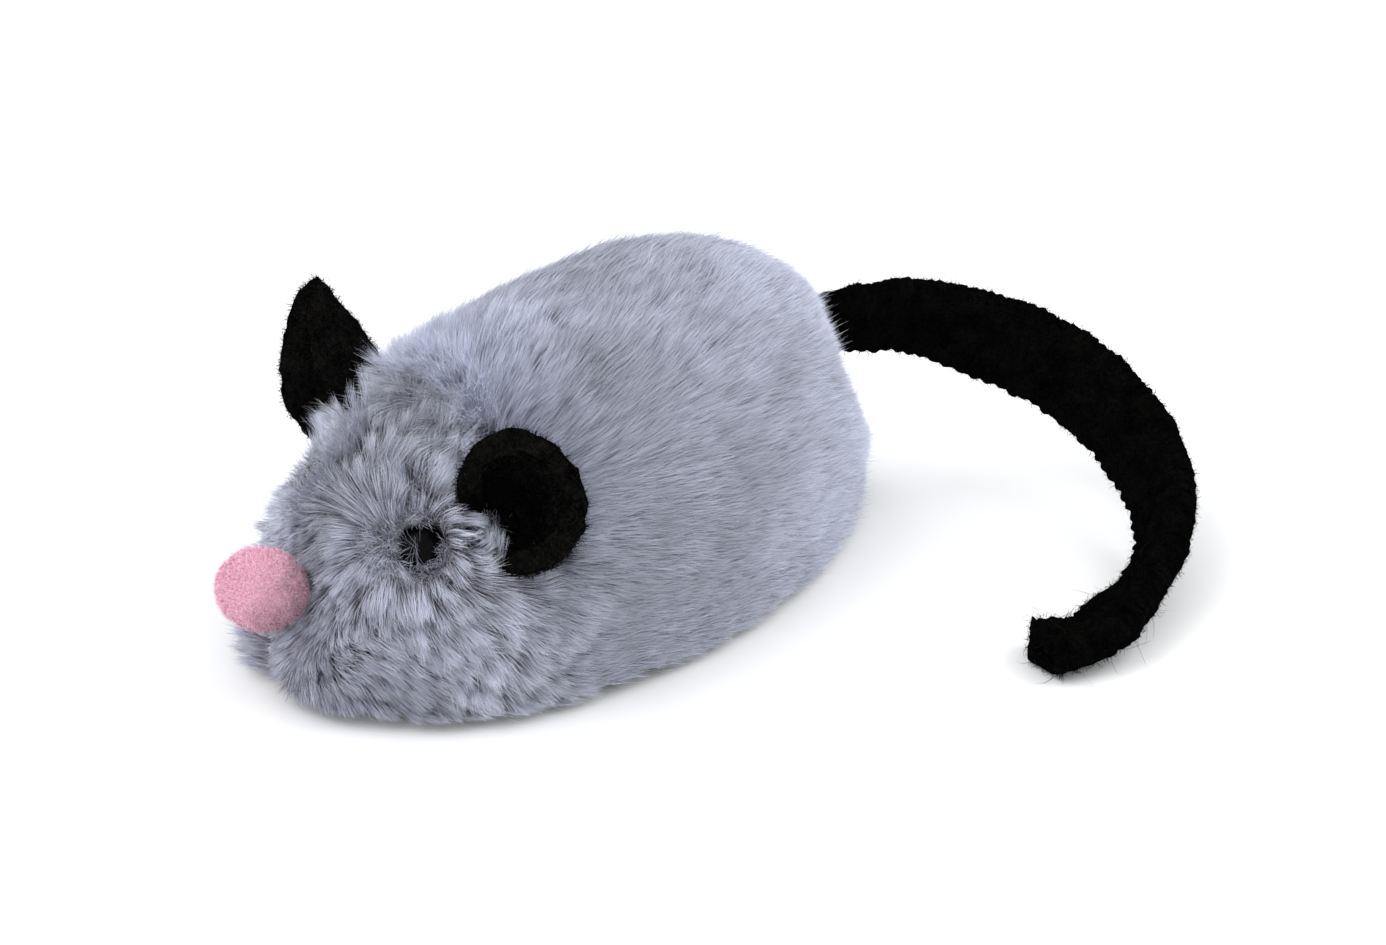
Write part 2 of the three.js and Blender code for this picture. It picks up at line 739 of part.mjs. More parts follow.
function motorCase() {
  const rim = lidInside - fit.press;
  const tub = cutAway(motorBlock(motor.wall, -halfMotor, rim), [
    motorBlock(0, tubFloor, rim + fit.overrun),
  ]);
  const bosses = lidScrewPlaces().map((place) =>
    barAlongX(motor.lidBossRadius, tubFloor - motor.wall / 2, rim, place),
  );
  const pilots = lidScrewPlaces().map((place) =>
    barAlongX(motor.lidPilotRadius, rim - motor.lidPilotDepth, rim + fit.overrun, place),
  );
  const barrelEnd = tubFloor + fit.soft + springWidth;
  const barrel = cutAway(
    barAlongX(barrelOuter, tubFloor - motor.wall / 2, barrelEnd, springPlace, wheelSides),
    [barAlongX(barrelInner, tubFloor, barrelEnd + fit.overrun, springPlace, wheelSides)],
  );
  const bounded = inside(joined([barrel, ...bosses]), motorBlock(motor.wall / 2, -halfMotor, rim));
  const bores = shaftBores(-halfMotor - fit.overrun, tubFloor + fit.overrun);
  return cutAway(joined([tub, bounded]), [...pilots, ...bores]);
}

function motorLid() {
  const holes = lidScrewPlaces().flatMap((place) => [
    barAlongX(lidScrew.shankRadius + fit.running, lidInside - fit.overrun, halfMotor, place),
    lidSink(place),
  ]);
  const bores = shaftBores(lidInside - fit.overrun, halfMotor + fit.overrun);
  return cutAway(motorBlock(motor.wall, lidInside, halfMotor), [...holes, ...bores]);
}

function lidSink(place) {
  const cone = new THREE.CylinderGeometry(
    lidScrew.headRadius + fit.running,
    lidScrew.shankRadius + fit.running,
    lidScrew.headHeight,
    pinSides,
  );
  return cone
    .rotateZ(-Math.PI / 2)
    .rotateX(Math.PI)
    .translate(halfMotor - lidScrew.headHeight / 2, place.x, place.y);
}

// Gears

function involute(angle) {
  return Math.tan(angle) - angle;
}

// Half of a tooth's angle at a radius
function toothHalfAngle(teeth, radius) {
  const pressure = rad(gears.pressureAngle);
  const base = gearRadius(teeth) * Math.cos(pressure);
  const atPitch = (Math.PI / (2 * teeth)) * (1 - gearShares.backlash);
  const flank = Math.acos(Math.min(1, base / radius));
  return atPitch + involute(pressure) - involute(flank);
}

// The outline of a gear with a tooth pointing at the given angle
function gearShape(teeth, pointing, bore) {
  const pitch = gearRadius(teeth);
  const radii = [pitch - gearShares.dedendum * gearModule, pitch, pitch + addendum];
  const points = [];
  for (let i = 0; i < teeth; i++) {
    const middle = pointing + (2 * Math.PI * i) / teeth;
    const rising = radii.map((radius) => [radius, middle - toothHalfAngle(teeth, radius)]);
    const falling = radii.map((radius) => [radius, middle + toothHalfAngle(teeth, radius)]).reverse();
    for (const [radius, angle] of [...rising, ...falling])
      points.push(new THREE.Vector2(radius * Math.cos(angle), radius * Math.sin(angle)));
  }
  const shape = new THREE.Shape(points);
  shape.holes.push(ringPath(bore));
  return shape;
}

function ringPath(radius) {
  const points = Array.from({ length: pinSides }, (_, i) => {
    const turn = (Math.PI * (2 * i + 1)) / pinSides;
    return new THREE.Vector2(radius * Math.cos(turn), radius * Math.sin(turn));
  });
  return new THREE.Path(points);
}

function gearDisc(teeth, pointing, bore, from, width) {
  const disc = new THREE.ExtrudeGeometry(gearShape(teeth, pointing, bore), {
    depth: width,
    bevelEnabled: false,
  });
  return disc.applyMatrix4(sideways).translate(from, 0, 0);
}

function sleeve(outer, bore, from, to) {
  return turnedAlongX(
    [
      [bore, from],
      [outer, from],
      [outer, to],
      [bore, to],
    ],
    pinSides,
  );
}

// Where each gear lies along X, counted from the case floor
const springFrom = tubFloor + fit.soft;
const springGearFrom = springFrom + springWidth + motor.gearSpacing;
const clutchPinionFrom = springGearFrom + (springGearWidth - clutchPinionWidth) / 2;
const clutchGearFrom = clutchPinionFrom + clutchPinionWidth;
const axleGearFrom = clutchGearFrom + (clutchGearWidth - axleGearWidth) / 2;
const gearEnd = lidInside - fit.soft;
// Directions from one shaft to the next, which the meshing teeth point along
const towardClutch = rad(180 - gears.clutchAngle);
const towardSpring = rad(180 - gears.springAngle);

function facing(angle, teeth) {
  return angle + Math.PI + Math.PI / teeth;
}

function axlePinion() {
  const bore = rearAxle.radius + fit.seat;
  return joined([
    gearDisc(gears.pinionTeeth, towardClutch, bore, axleGearFrom, axleGearWidth),
    sleeve(motor.spacerRadius, bore, springFrom, axleGearFrom + motor.gearSpacing),
    sleeve(motor.spacerRadius, bore, axleGearFrom + motor.gearSpacing, gearEnd),
  ]);
}

function clutchGear() {
  const bore = motor.arborRadius + fit.running;
  return joined([
    gearDisc(
      gears.clutchTeeth,
      facing(towardClutch, gears.clutchTeeth),
      bore,
      clutchGearFrom,
      clutchGearWidth,
    ),
    gearDisc(
      gears.clutchPinionTeeth,
      towardSpring,
      bore,
      clutchPinionFrom,
      clutchPinionWidth + motor.gearSpacing,
    ),
    sleeve(motor.spacerRadius, bore, springFrom, clutchPinionFrom + motor.gearSpacing),
    sleeve(motor.spacerRadius, bore, clutchGearFrom + motor.gearSpacing, gearEnd),
  ]);
}

function springWheel() {
  const bore = motor.arborRadius + fit.running;
  const core = springInner - spring.thickness;
  return joined([
    gearDisc(
      gears.springTeeth,
      facing(towardSpring, gears.springTeeth),
      bore,
      springGearFrom,
      springGearWidth,
    ),
    sleeve(core, bore, springFrom, springGearFrom + motor.gearSpacing),
    sleeve(motor.spacerRadius, bore, springGearFrom + motor.gearSpacing, gearEnd),
  ]);
}

// A flat strip wound from the core of the spring wheel out to the barrel
function mainSpring() {
  const count = Math.round(spring.turns * spring.stepsPerTurn);
  const sections = Array.from({ length: count + 1 }, (_, i) => {
    const turn = (2 * Math.PI * i) / spring.stepsPerTurn;
    const radius = THREE.MathUtils.lerp(springInner, springOuter, i / count);
    const corners = [
      [radius - spring.thickness / 2, springFrom],
      [radius + spring.thickness / 2, springFrom],
      [radius + spring.thickness / 2, springFrom + springWidth],
      [radius - spring.thickness / 2, springFrom + springWidth],
    ];
    return corners
      .map(([reach, x]) => new THREE.Vector3(x, reach * Math.cos(turn), reach * Math.sin(turn)))
      .reverse();
  });
  const pitch = (springOuter - springInner) / spring.turns;
  console.log("least gap between the spring's turns, mm:", (pitch - spring.thickness).toFixed(2));
  return new LoftGeometry(sections, { capStart: true, capEnd: true });
}

// Wheels

function rearTyre() {
  const middle = tyreWidth / 2;
  const groove = tyre.grooveWidth / 2;
  return turnedAlongX([
    [tyreInner, 0],
    [tyreRadius - tyre.chamfer, 0],
    [tyreRadius, tyre.chamfer],
    [tyreRadius, middle - groove],
    [tyreRadius - tyre.grooveDepth, middle - groove / 2],
    [tyreRadius - tyre.grooveDepth, middle + groove / 2],
    [tyreRadius, middle + groove],
    [tyreRadius, tyreWidth - tyre.chamfer],
    [tyreRadius - tyre.chamfer, tyreWidth],
    [tyreInner, tyreWidth],
  ]);
}

function rearHub() {
  const bore = rearAxle.radius + fit.seat;
  const rim = tyreInner - fit.seat;
  return turnedAlongX([
    [bore, 0],
    [rim, 0],
    [rim, tyreWidth],
    [rim - hub.rim, tyreWidth],
    [rim - hub.rim, hub.web],
    [hub.boss, hub.web],
    [hub.boss, tyreWidth],
    [bore, tyreWidth],
  ]);
}

function frontWheelForm() {
  const bore = frontAxle.radius + fit.seat;
  return turnedAlongX([
    [bore, 0],
    [frontRadius - frontWheel.chamfer, 0],
    [frontRadius, frontWheel.chamfer],
    [frontRadius, frontWidth - frontWheel.chamfer],
    [frontRadius - frontWheel.chamfer, frontWidth],
    [frontRadius - frontWheel.rim, frontWidth],
    [frontRadius - frontWheel.rim, frontWheel.web],
    [frontWheel.boss, frontWheel.web],
    [frontWheel.boss, frontWidth],
    [bore, frontWidth],
  ]);
}

function axleBar(radius, reach) {
  return barAlongX(radius, -reach, reach, new THREE.Vector2());
}

// Screws with a countersunk head and a bare shank, head at zero and point at +Z
function screwForm(screw) {
  const profile = [
    new THREE.Vector2(0, 0),
    new THREE.Vector2(screw.headRadius, 0),
    new THREE.Vector2(screw.shankRadius, screw.headHeight),
    new THREE.Vector2(screw.shankRadius, screw.length - screw.tip),
    new THREE.Vector2(0, screw.length),
  ];
  return new THREE.LatheGeometry(profile, pinSides).rotateX(Math.PI / 2);
}

// Assembly

function piece(name, geometry, material) {
  const mesh = new THREE.Mesh(geometry, material);
  mesh.name = name;
  return mesh;
}

// A group whose middle is a shaft, given as [y, z]
function onShaft(place, ...meshes) {
  const group = new THREE.Group();
  group.position.set(0, place.x, place.y);
  group.add(...meshes);
  return group;
}

// The same wheel piece on the left and, turned round, on the right
function wheelPair(name, form, inner, material) {
  return [
    ["left", 0, 1],
    ["right", Math.PI, -1],
  ].map(([word, turn, side]) => {
    const mesh = piece(name + "_" + word, form(), material);
    mesh.rotation.z = turn;
    mesh.position.x = side * inner;
    return mesh;
  });
}

function softPieces() {
  const group = new THREE.Group();
  group.add(piece("plush_cover", plushCover(), materials.fur));
  group.add(piece("nose_pompom", pompom(), materials.pompom));
  group.add(piece("tail", tailForm(), materials.felt));
  for (const [word, side] of [
    ["left", 1],
    ["right", -1],
  ]) {
    group.add(piece("ear_" + word, earForm(side), materials.felt));
    group.add(piece("eye_" + word, eyeForm(side), materials.eye));
    group.add(piece("eye_washer_" + word, eyeWasher(side), materials.motor));
  }
  return group;
}

function frame() {
  const group = new THREE.Group();
  group.add(piece("body_shell", bodyShell(), materials.shell));
  group.add(piece("base_plate", basePlate(), materials.plate));
  ["front", "left", "right"].forEach((word, i) => {
    const screw = piece("case_screw_" + word, screwForm(caseScrew), materials.steel);
    screw.position.set(...screwPosts()[i], shell.rim);
    group.add(screw);
  });
  return group;
}

function motorPieces() {
  const group = new THREE.Group();
  group.add(piece("motor_case", motorCase(), materials.motor));
  group.add(piece("motor_lid", motorLid(), materials.motor));
  ["front", "rear"].forEach((word, i) => {
    const place = lidScrewPlaces()[i];
    const screw = piece("lid_screw_" + word, screwForm(lidScrew), materials.steel);
    screw.rotation.y = -Math.PI / 2;
    screw.position.set(halfMotor, place.x, place.y);
    group.add(screw);
  });
  group.add(
    onShaft(
      clutchPlace,
      piece("clutch_arbor", axleBar(motor.arborRadius, halfMotor), materials.steel),
      piece("clutch_gear", clutchGear(), materials.gear),
    ),
    onShaft(
      springPlace,
      piece("spring_arbor", axleBar(motor.arborRadius, halfMotor), materials.steel),
      piece("spring_wheel", springWheel(), materials.gear),
      piece("mainspring", mainSpring(), materials.steel),
    ),
  );
  return group;
}

function wheelSets() {
  const rearReach = rearWheelInside + tyreWidth + rearAxle.overhang;
  const frontReach = frontWheelInside + frontWidth + frontAxle.overhang;
  const group = new THREE.Group();
  group.add(
    onShaft(
      axlePlace,
      piece("rear_axle", axleBar(rearAxle.radius, rearReach), materials.steel),
      piece("axle_pinion", axlePinion(), materials.gear),
      ...wheelPair("rear_hub", rearHub, rearWheelInside, materials.wheel),
      ...wheelPair("rear_tyre", rearTyre, rearWheelInside, materials.rubber),
    ),
    onShaft(
      frontPlace,
      piece("front_axle", axleBar(frontAxle.radius, frontReach), materials.steel),
      ...wheelPair("front_wheel", frontWheelForm, frontWheelInside, materials.wheel),
    ),
  );
  return group;
}

// The origin lies on the floor, below the middle of the whole toy's box
const toy = new THREE.Group();
toy.add(softPieces(), frame(), motorPieces(), wheelSets());
toy.updateMatrixWorld(true);
const bounds = new THREE.Box3().setFromObject(toy, true);
const middle = bounds.getCenter(new THREE.Vector3());
toy.position.set(-middle.x, -middle.y, -bounds.min.z);

const shafts = { rear_axle: axlePlace, front_axle: frontPlace, clutch: clutchPlace, spring: springPlace };
for (const [name, place] of Object.entries(shafts))
  console.log(name, "shaft x y z, mm:", -middle.x, place.x - middle.y, place.y - bounds.min.z);
console.log("shift, mm:", toy.position.toArray(), "box, mm:", bounds.getSize(new THREE.Vector3()).toArray());

const part = new THREE.Group();
part.add(toy);
export default part;
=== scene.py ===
import math
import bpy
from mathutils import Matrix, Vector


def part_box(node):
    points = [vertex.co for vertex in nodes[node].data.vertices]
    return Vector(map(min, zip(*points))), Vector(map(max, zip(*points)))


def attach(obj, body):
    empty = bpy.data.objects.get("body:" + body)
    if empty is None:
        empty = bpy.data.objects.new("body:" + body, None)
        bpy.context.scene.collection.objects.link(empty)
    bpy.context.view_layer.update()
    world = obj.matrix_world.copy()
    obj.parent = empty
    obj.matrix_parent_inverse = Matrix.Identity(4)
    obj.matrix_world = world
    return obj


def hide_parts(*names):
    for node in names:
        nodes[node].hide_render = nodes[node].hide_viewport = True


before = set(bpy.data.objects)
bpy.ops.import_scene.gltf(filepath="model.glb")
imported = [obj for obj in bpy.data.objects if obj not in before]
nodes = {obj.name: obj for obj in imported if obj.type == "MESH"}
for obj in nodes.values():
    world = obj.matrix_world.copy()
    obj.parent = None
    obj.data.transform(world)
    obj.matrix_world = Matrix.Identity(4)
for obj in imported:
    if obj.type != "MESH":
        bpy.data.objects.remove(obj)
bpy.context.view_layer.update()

from types import SimpleNamespace

import bmesh
import bpy
import numpy as np
from mathutils import Quaternion, Vector
from mathutils.bvhtree import BVHTree

mm = 0.001

# The middle of the plush cover on the floor is where every shape below starts from
coverLow, coverHigh = (np.array(corner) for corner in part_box("plush_cover"))
middle = np.array([*(coverLow + coverHigh)[:2] / 2, 0]) / mm


def placeOf(spot):
    # A spot in millimetres from that middle, as Blender takes it
    return Vector((np.array(spot) + middle) * mm)


# Shader nodes

class Wire:
    def __init__(self, graph, socket):
        self.graph = graph
        self.socket = socket

    def math(self, operation, first, second):
        return self.graph.add("ShaderNodeMath", {"operation": operation}, {0: first, 1: second})

    def __add__(self, other):
        return self.math("ADD", self, other)

    def __sub__(self, other):
        return self.math("SUBTRACT", self, other)

    def __rsub__(self, other):
        return self.math("SUBTRACT", other, self)

    def __mul__(self, other):
        return self.math("MULTIPLY", self, other)

    __radd__ = __add__
    __rmul__ = __mul__


class Graph:
    def __init__(self, name, **constants):
        self.material = bpy.data.materials.new(name)
        self.material.use_nodes = True
        self.tree = self.material.node_tree
        self.shader = self.tree.nodes["Principled BSDF"]
        for socket, value in constants.items():
            self.shader.inputs[socket.replace("_", " ")].default_value = value
        self.place = self.add("ShaderNodeTexCoord", out="Object")

    def add(self, kind, settings=None, sockets=None, out=0):
        node = self.tree.nodes.new(kind)
        for key, value in (settings or {}).items():
            setattr(node, key, value)
        for key, value in (sockets or {}).items():
            self.feed(node.inputs[key], value)
        return Wire(self, node.outputs[out])

    def feed(self, socket, value):
        if isinstance(value, Wire):
            self.tree.links.new(value.socket, socket)
        else:
            socket.default_value = value

    def noise(self, size, detail=3, roughness=0.55, place=None):
        sockets = {"Vector": place or self.place, "Scale": 1 / size, "Detail": detail, "Roughness": roughness}
        return self.add("ShaderNodeTexNoise", None, sockets)

    def lumps(self, size):
        sockets = {"Vector": self.place, "Scale": 1 / size}
        return self.add("ShaderNodeTexVoronoi", {"feature": "SMOOTH_F1"}, sockets)

    def spread(self, value, low, high, toLow=0, toHigh=1):
        sockets = {"Value": value, "From Min": low, "From Max": high, "To Min": toLow, "To Max": toHigh}
        return self.add("ShaderNodeMapRange", {"clamp": True}, sockets)

    def blendOf(self, factor, first, second):
        sockets = {"Factor": factor, 6: first, 7: second}  # 6 and 7 are the node's two colours
        return self.add("ShaderNodeMix", {"data_type": "RGBA"}, sockets, out=2)

    def finish(self, colour, roughness, height=None, depth=0.1 * mm, strength=1):
        self.feed(self.shader.inputs["Base Color"], colour)
        self.feed(self.shader.inputs["Roughness"], roughness)
        if height is not None:
            sockets = {"Height": height, "Distance": depth, "Strength": strength}
            self.feed(self.shader.inputs["Normal"], self.add("ShaderNodeBump", None, sockets))
        return self.material


def paint(red, green, blue):
    # A colour as picked on screen, in linear light
    return (*((share / 12.92 if share <= 0.04045 else ((share + 0.055) / 1.055) ** 2.4)
              for share in (red / 255, green / 255, blue / 255)), 1)


def giveMaterial(piece, material):
    piece.data.materials.clear()
    piece.data.materials.append(material)


# The camera stands ahead of the mouse's left side and looks down at it

camera = {
    "turn": 53.63, "rise": 28.474, "roll": 0.818, "distance": 500, "lens": 120.436,
    "height": 18, "right": 13.191, "down": 3.819, "sensor": 36, "nearest": 10,
}


def makeCamera(view):
    turn, rise = math.radians(view["turn"]), math.radians(view["rise"])
    back = Vector((math.sin(turn) * math.cos(rise), -math.cos(turn) * math.cos(rise), math.sin(rise)))
    right = Vector((math.cos(turn), math.sin(turn), 0))
    up = back.cross(right)
    target = Vector(middle) + Vector((0, 0, view["height"]))
    aim = target + right * view["right"] - up * view["down"]
    place = target + back * view["distance"]
    seen = bpy.data.objects.new("camera", bpy.data.cameras.new("camera"))
    seen.data.lens = view["lens"]
    seen.data.sensor_width = view["sensor"]
    seen.data.clip_start = view["nearest"] * mm
    seen.location = place * mm
    tilt = Quaternion((0, 0, 1), math.radians(view["roll"]))
    seen.rotation_euler = ((aim - place).to_track_quat("-Z", "Y") @ tilt).to_euler()
    bpy.context.collection.objects.link(seen)
    bpy.context.scene.camera = seen


makeCamera(camera)
print("camera placed")


# Meshes

def makeMesh(name, form, smooth=True):
    mesh = bpy.data.meshes.new(name)
    form.to_mesh(mesh)
    form.free()
    if smooth:
        mesh.shade_smooth()
    piece = bpy.data.objects.new(name, mesh)
    bpy.context.collection.objects.link(piece)
    return piece


def addModifier(piece, kind, **settings):
    modifier = piece.modifiers.new(kind.title(), kind)
    for key, value in settings.items():
        setattr(modifier, key, value)


def applyModifiers(piece):
    shown = piece.evaluated_get(bpy.context.evaluated_depsgraph_get())
    finished = bpy.data.meshes.new_from_object(shown)
    piece.modifiers.clear()
    piece.data = finished


def readVertices(mesh, key):
    values = np.empty(len(mesh.vertices) * 3)
    mesh.vertices.foreach_get(key, values)
    return values.reshape(-1, 3)


def roughen(piece, lumps):
    # Uneven handmade surface: points move along their normals by slow and quick noise, for each depth
    # and size of its lumps
    for depth, size in lumps:
        points = readVertices(piece.data, "co") / mm
        push = depth * (smoothNoise(points, size, 21) + 0.5 * smoothNoise(points, size / 2.6, 22))
        points = points + readVertices(piece.data, "normal") * push[:, None]
        piece.data.vertices.foreach_set("co", (points * mm).ravel())
        piece.data.update()


# Sums on rows of vectors and of numbers

def lengths(vectors):
    return np.linalg.norm(vectors, axis=-1)


def unit(vectors):
    return vectors / np.maximum(lengths(vectors), 1e-9)[..., None]


def dotOf(ways, axes):
    return (ways * axes).sum(-1)


def levelWith(ways, out):
    # The part of each way that lies in the surface
    return ways - out * dotOf(ways, out)[:, None]


def blendStep(value, low, high):
    share = np.clip((value - low) / (high - low), 0, 1)
    return share * share * (3 - 2 * share)


def bell(value, width, power=2):
    # 1 where the value is nothing, about a third at the width and close to nothing at twice it
    return np.exp(-(value / width) ** power)


# The form of the back. The share runs from the snout to the rump, the turn from the left hem over the
# ridge to the right hem, and the inset draws it in

back = {
    "length": 80, "width": 47, "height": 37.6, "hem": 1.5,
    "planShift": 0.8, "planFullness": 0.56, "ridgeShift": 1.38, "ridgeFullness": 0.36,
    "sideRoundness": 1.1, "topRoundness": 0.92,
}
# Seats on the back: a share of its length, and a share of half a turn up from the hem of their side
seats = {
    "ear": {"share": 0.257, "turn": 0.248}, "eye": {"share": 0.155, "turn": 0.296},
    "whorl": {"share": 0.13, "turn": 0.352}, "crown": {"share": 0.294, "turn": 0.4},
    "nape": {"share": 0.297, "turn": 0.446}, "ridge": {"share": 0.299, "turn": 0.49},
    "brow": {"share": 0.192, "turn": 0.397},
}


def backPoint(share, turn, inset):
    across, up = np.cos(turn), np.sin(turn)
    plan = np.sin(np.pi * share ** back["planShift"]) ** back["planFullness"]
    halfWidth = (back["width"] / 2 - inset) * plan
    ridge = np.sin(np.pi * share ** back["ridgeShift"]) ** back["ridgeFullness"]
    rise = (back["height"] - inset - back["hem"]) * ridge
    return np.stack([
        halfWidth * np.sign(across) * np.abs(across) ** back["sideRoundness"],
        (share - 0.5) * (back["length"] - 2 * inset),
        back["hem"] + rise * np.abs(up) ** back["topRoundness"],
    ], axis=-1)


def backFrame(share, turn, inset):
    # The place, the ways backward and across, and the way out
    step, end = 1e-3, 2e-4
    ahead = np.clip(share - step, end, 1)
    behind = np.clip(share + step, 0, 1 - end)
    backward = unit(backPoint(behind, turn, inset) - backPoint(ahead, turn, inset))
    across = unit(backPoint(share, np.clip(turn + step, 0, np.pi), inset)
                  - backPoint(share, np.clip(turn - step, 0, np.pi), inset))
    return backPoint(share, turn, inset), backward, across, unit(np.cross(backward, across))


def turnOf(seat, side):
    turn = math.pi * seat["turn"]
    return turn if side > 0 else math.pi - turn


def seatPoint(seat, side, inset):
    return backPoint(np.array(seat["share"]), np.array(turnOf(seat, side)), inset)


def standOn(seat, side):
    # The same frame as the CAD's for a piece sewn to the cover: columns across, forward and out
    share, turn = seat["share"], turnOf(seat, side)
    step = 0.004
    place = backPoint(np.array(share), np.array(turn), 0)
    forward = unit(backPoint(np.array(share - step), np.array(turn), 0) - place)
    across = unit(backPoint(np.array(share), np.array(turn - step), 0) - place)
    out = unit(np.cross(forward, across))
    return place, np.stack([np.cross(forward, out), forward, out], axis=-1)


# Noise, clumps and strands

# Large factors that give neighbouring cells unlike shares
scramble = {
    "places": (73856093, 19349663, 83492791), "salt": 2654435761, "again": 1274126177, "steps": 100003,
}
# A strand is a flat tapering ribbon with two points at each of 3 levels and one at its tip, joined as two
# quads and a triangle. Each strand has its own small cell of the map
ribbon = {
    "corners": np.array([0, 1, 3, 2, 2, 3, 5, 4, 4, 5, 6]), "starts": np.array([0, 4, 8]),
    "levels": np.array([0, 0, 1, 1, 2, 2, 3]),
    "spots": np.array([[0.2, 0.1], [0.8, 0.1], [0.2, 0.4], [0.8, 0.4], [0.2, 0.7], [0.8, 0.7], [0.5, 0.9]]),
}


def cellChance(cells, salt):
    # A share from 0 to 1 for each cell of space, its coordinates and a salt mixed as whole numbers
    first, second, third = (cells[..., axis] * factor for axis, factor in enumerate(scramble["places"]))
    mixed = first ^ second ^ third ^ salt * scramble["salt"]
    mixed = (mixed ^ (mixed >> 13)) & 0xFFFFFF
    mixed = (mixed * scramble["again"]) & 0xFFFFFFF
    return ((mixed ^ (mixed >> 11)) % scramble["steps"]) / scramble["steps"]


def smoothNoise(place, size, salt):
    # Random values on a lattice, blended between its corners
    spot = place / size
    home = np.floor(spot).astype(np.int64)
    share = blendStep(spot - home, 0, 1)
    total = 0
    for corner in np.ndindex(2, 2, 2):
        weight = np.prod(np.where(np.array(corner), share, 1 - share), axis=-1)
        total = total + weight * cellChance(home + np.array(corner), salt)
    return total * 2 - 1


def clumpCentres(places, size):
    # The nearest of one random point to each cube of space, and that cube
    home = np.floor(places / size).astype(np.int64)
    best = np.full(len(places), np.inf)
    centres = np.zeros_like(places)
    cubes = np.zeros_like(home)
    for shift in np.ndindex(3, 3, 3):
        cube = home + np.array(shift) - 1
        chance = np.stack([cellChance(cube, salt) for salt in (1, 2, 3)], axis=-1)
        centre = (cube + chance) * size
        distance = lengths(centre - places)
        nearer = distance < best
        best[nearer], centres[nearer], cubes[nearer] = distance[nearer], centre[nearer], cube[nearer]
    return centres, cubes


def strandMesh(name, lines, sideways, widths, colours):
    # Each strand has 4 points down its line, one way sideways, widths at the first 3 points and a colour
    # at each
    count, size = len(lines), len(ribbon["levels"])
    points = np.empty((count, size, 3))
    for level in range(3):
        half = sideways * widths[:, level, None] / 2
        points[:, 2 * level] = lines[:, level] - half
        points[:, 2 * level + 1] = lines[:, level] + half
    points[:, -1] = lines[:, 3]
    corners = (np.arange(count)[:, None] * size + ribbon["corners"]).ravel()
    starts = (np.arange(count)[:, None] * len(ribbon["corners"]) + ribbon["starts"]).ravel()
    mesh = bpy.data.meshes.new(name)
    mesh.vertices.add(count * size)
    mesh.vertices.foreach_set("co", ((points + middle) * mm).astype(np.float32).ravel())
    mesh.loops.add(len(corners))
    mesh.loops.foreach_set("vertex_index", corners.astype(np.int32))
    mesh.polygons.add(len(starts))
    mesh.polygons.foreach_set("loop_start", starts.astype(np.int32))
    mesh.update(calc_edges=True)
    shade = np.ones((count, size, 4), dtype=np.float32)
    shade[..., :3] = colours[:, ribbon["levels"]]
    mesh.attributes.new("strandColour", "FLOAT_COLOR", "POINT").data.foreach_set("color", shade.ravel())
    columns = math.ceil(math.sqrt(count))
    cell = np.stack([np.arange(count) % columns, np.arange(count) // columns], axis=-1)
    spots = (cell[:, None, :] + ribbon["spots"][ribbon["corners"]]) / columns
    mesh.uv_layers.new(name="OFBake").data.foreach_set("uv", spots.astype(np.float32).ravel())
    mesh.shade_smooth()
    piece = bpy.data.objects.new(name, mesh)
    bpy.context.collection.objects.link(piece)
    return piece


def shadesOf(make, keys):
    # The colours at the 4 points of a strand
    return np.array([paint(*make[key])[:3] for key in keys])


def strandMaterial(name, roughness, sheen, shine):
    graph = Graph(name, Specular_IOR_Level=shine, Sheen_Weight=sheen)
    colour = graph.add("ShaderNodeAttribute", {"attribute_name": "strandColour"}, out="Color")
    return graph.finish(colour, roughness)


# The skin of the plush cover, with its hem turned in under the shell

skin = {
    "inset": 3.3, "thickness": 0.7, "rings": 96, "arcs": 64, "hemFold": 1.3, "hemReach": 0.3,
    "slitAhead": 0.9, "slitRadius": 2.4, "slitFade": 0.8,
}


def makeSkin(make):
    form = bmesh.new()
    bmesh.ops.create_grid(form, x_segments=make["rings"], y_segments=make["arcs"], size=0.5)
    for vert in form.verts:
        share = np.clip((1 - math.cos(math.pi * (vert.co.x + 0.5))) / 2, 0.002, 0.998)
        turn = math.pi * (vert.co.y + 0.5)
        vert.co = placeOf(backPoint(np.array(share), np.array(turn), make["inset"]))
    hem = [edge for edge in form.edges if edge.is_boundary and all(
        vert.co.z < (back["hem"] + make["hemReach"]) * mm for vert in edge.verts)]
    turned = bmesh.ops.extrude_edge_only(form, edges=hem)["geom"]
    for vert in (item for item in turned if isinstance(item, bmesh.types.BMVert)):
        inward = Vector(middle * mm) - vert.co
        inward.z = 0
        vert.co += inward.normalized() * make["hemFold"] * mm
        vert.co.z = back["hem"] * mm
    bmesh.ops.remove_doubles(form, verts=form.verts, dist=0.01 * mm)
    bmesh.ops.recalc_face_normals(form, faces=form.faces)
    return makeMesh("cover_skin", form)


def skinMaterial(make):
    graph = Graph("plush backing", Specular_IOR_Level=0.2)
    weave = graph.noise(0.35 * mm, detail=2)
    colour = graph.blendOf(graph.noise(6 * mm), paint(84, 82, 92), paint(104, 100, 112))
    for side in (1, -1):  # painted shade: black on the skin under the slit of each ear
        seat, basis = standOn(seats["ear"], side)
        slit = placeOf(seat - basis[:, 2] * make["inset"] + basis[:, 1] * make["slitAhead"])
        ends = {0: graph.place, 1: slit}
        gap = graph.add("ShaderNodeVectorMath", {"operation": "DISTANCE"}, ends, out="Value")
        near, far = make["slitRadius"] * mm, (make["slitRadius"] + make["slitFade"]) * mm
        colour = graph.blendOf(graph.spread(gap, near, far, 1, 0), colour, paint(4, 4, 4))
    return graph.finish(colour, 0.8 + 0.15 * weave, weave, 0.08 * mm, 0.8)


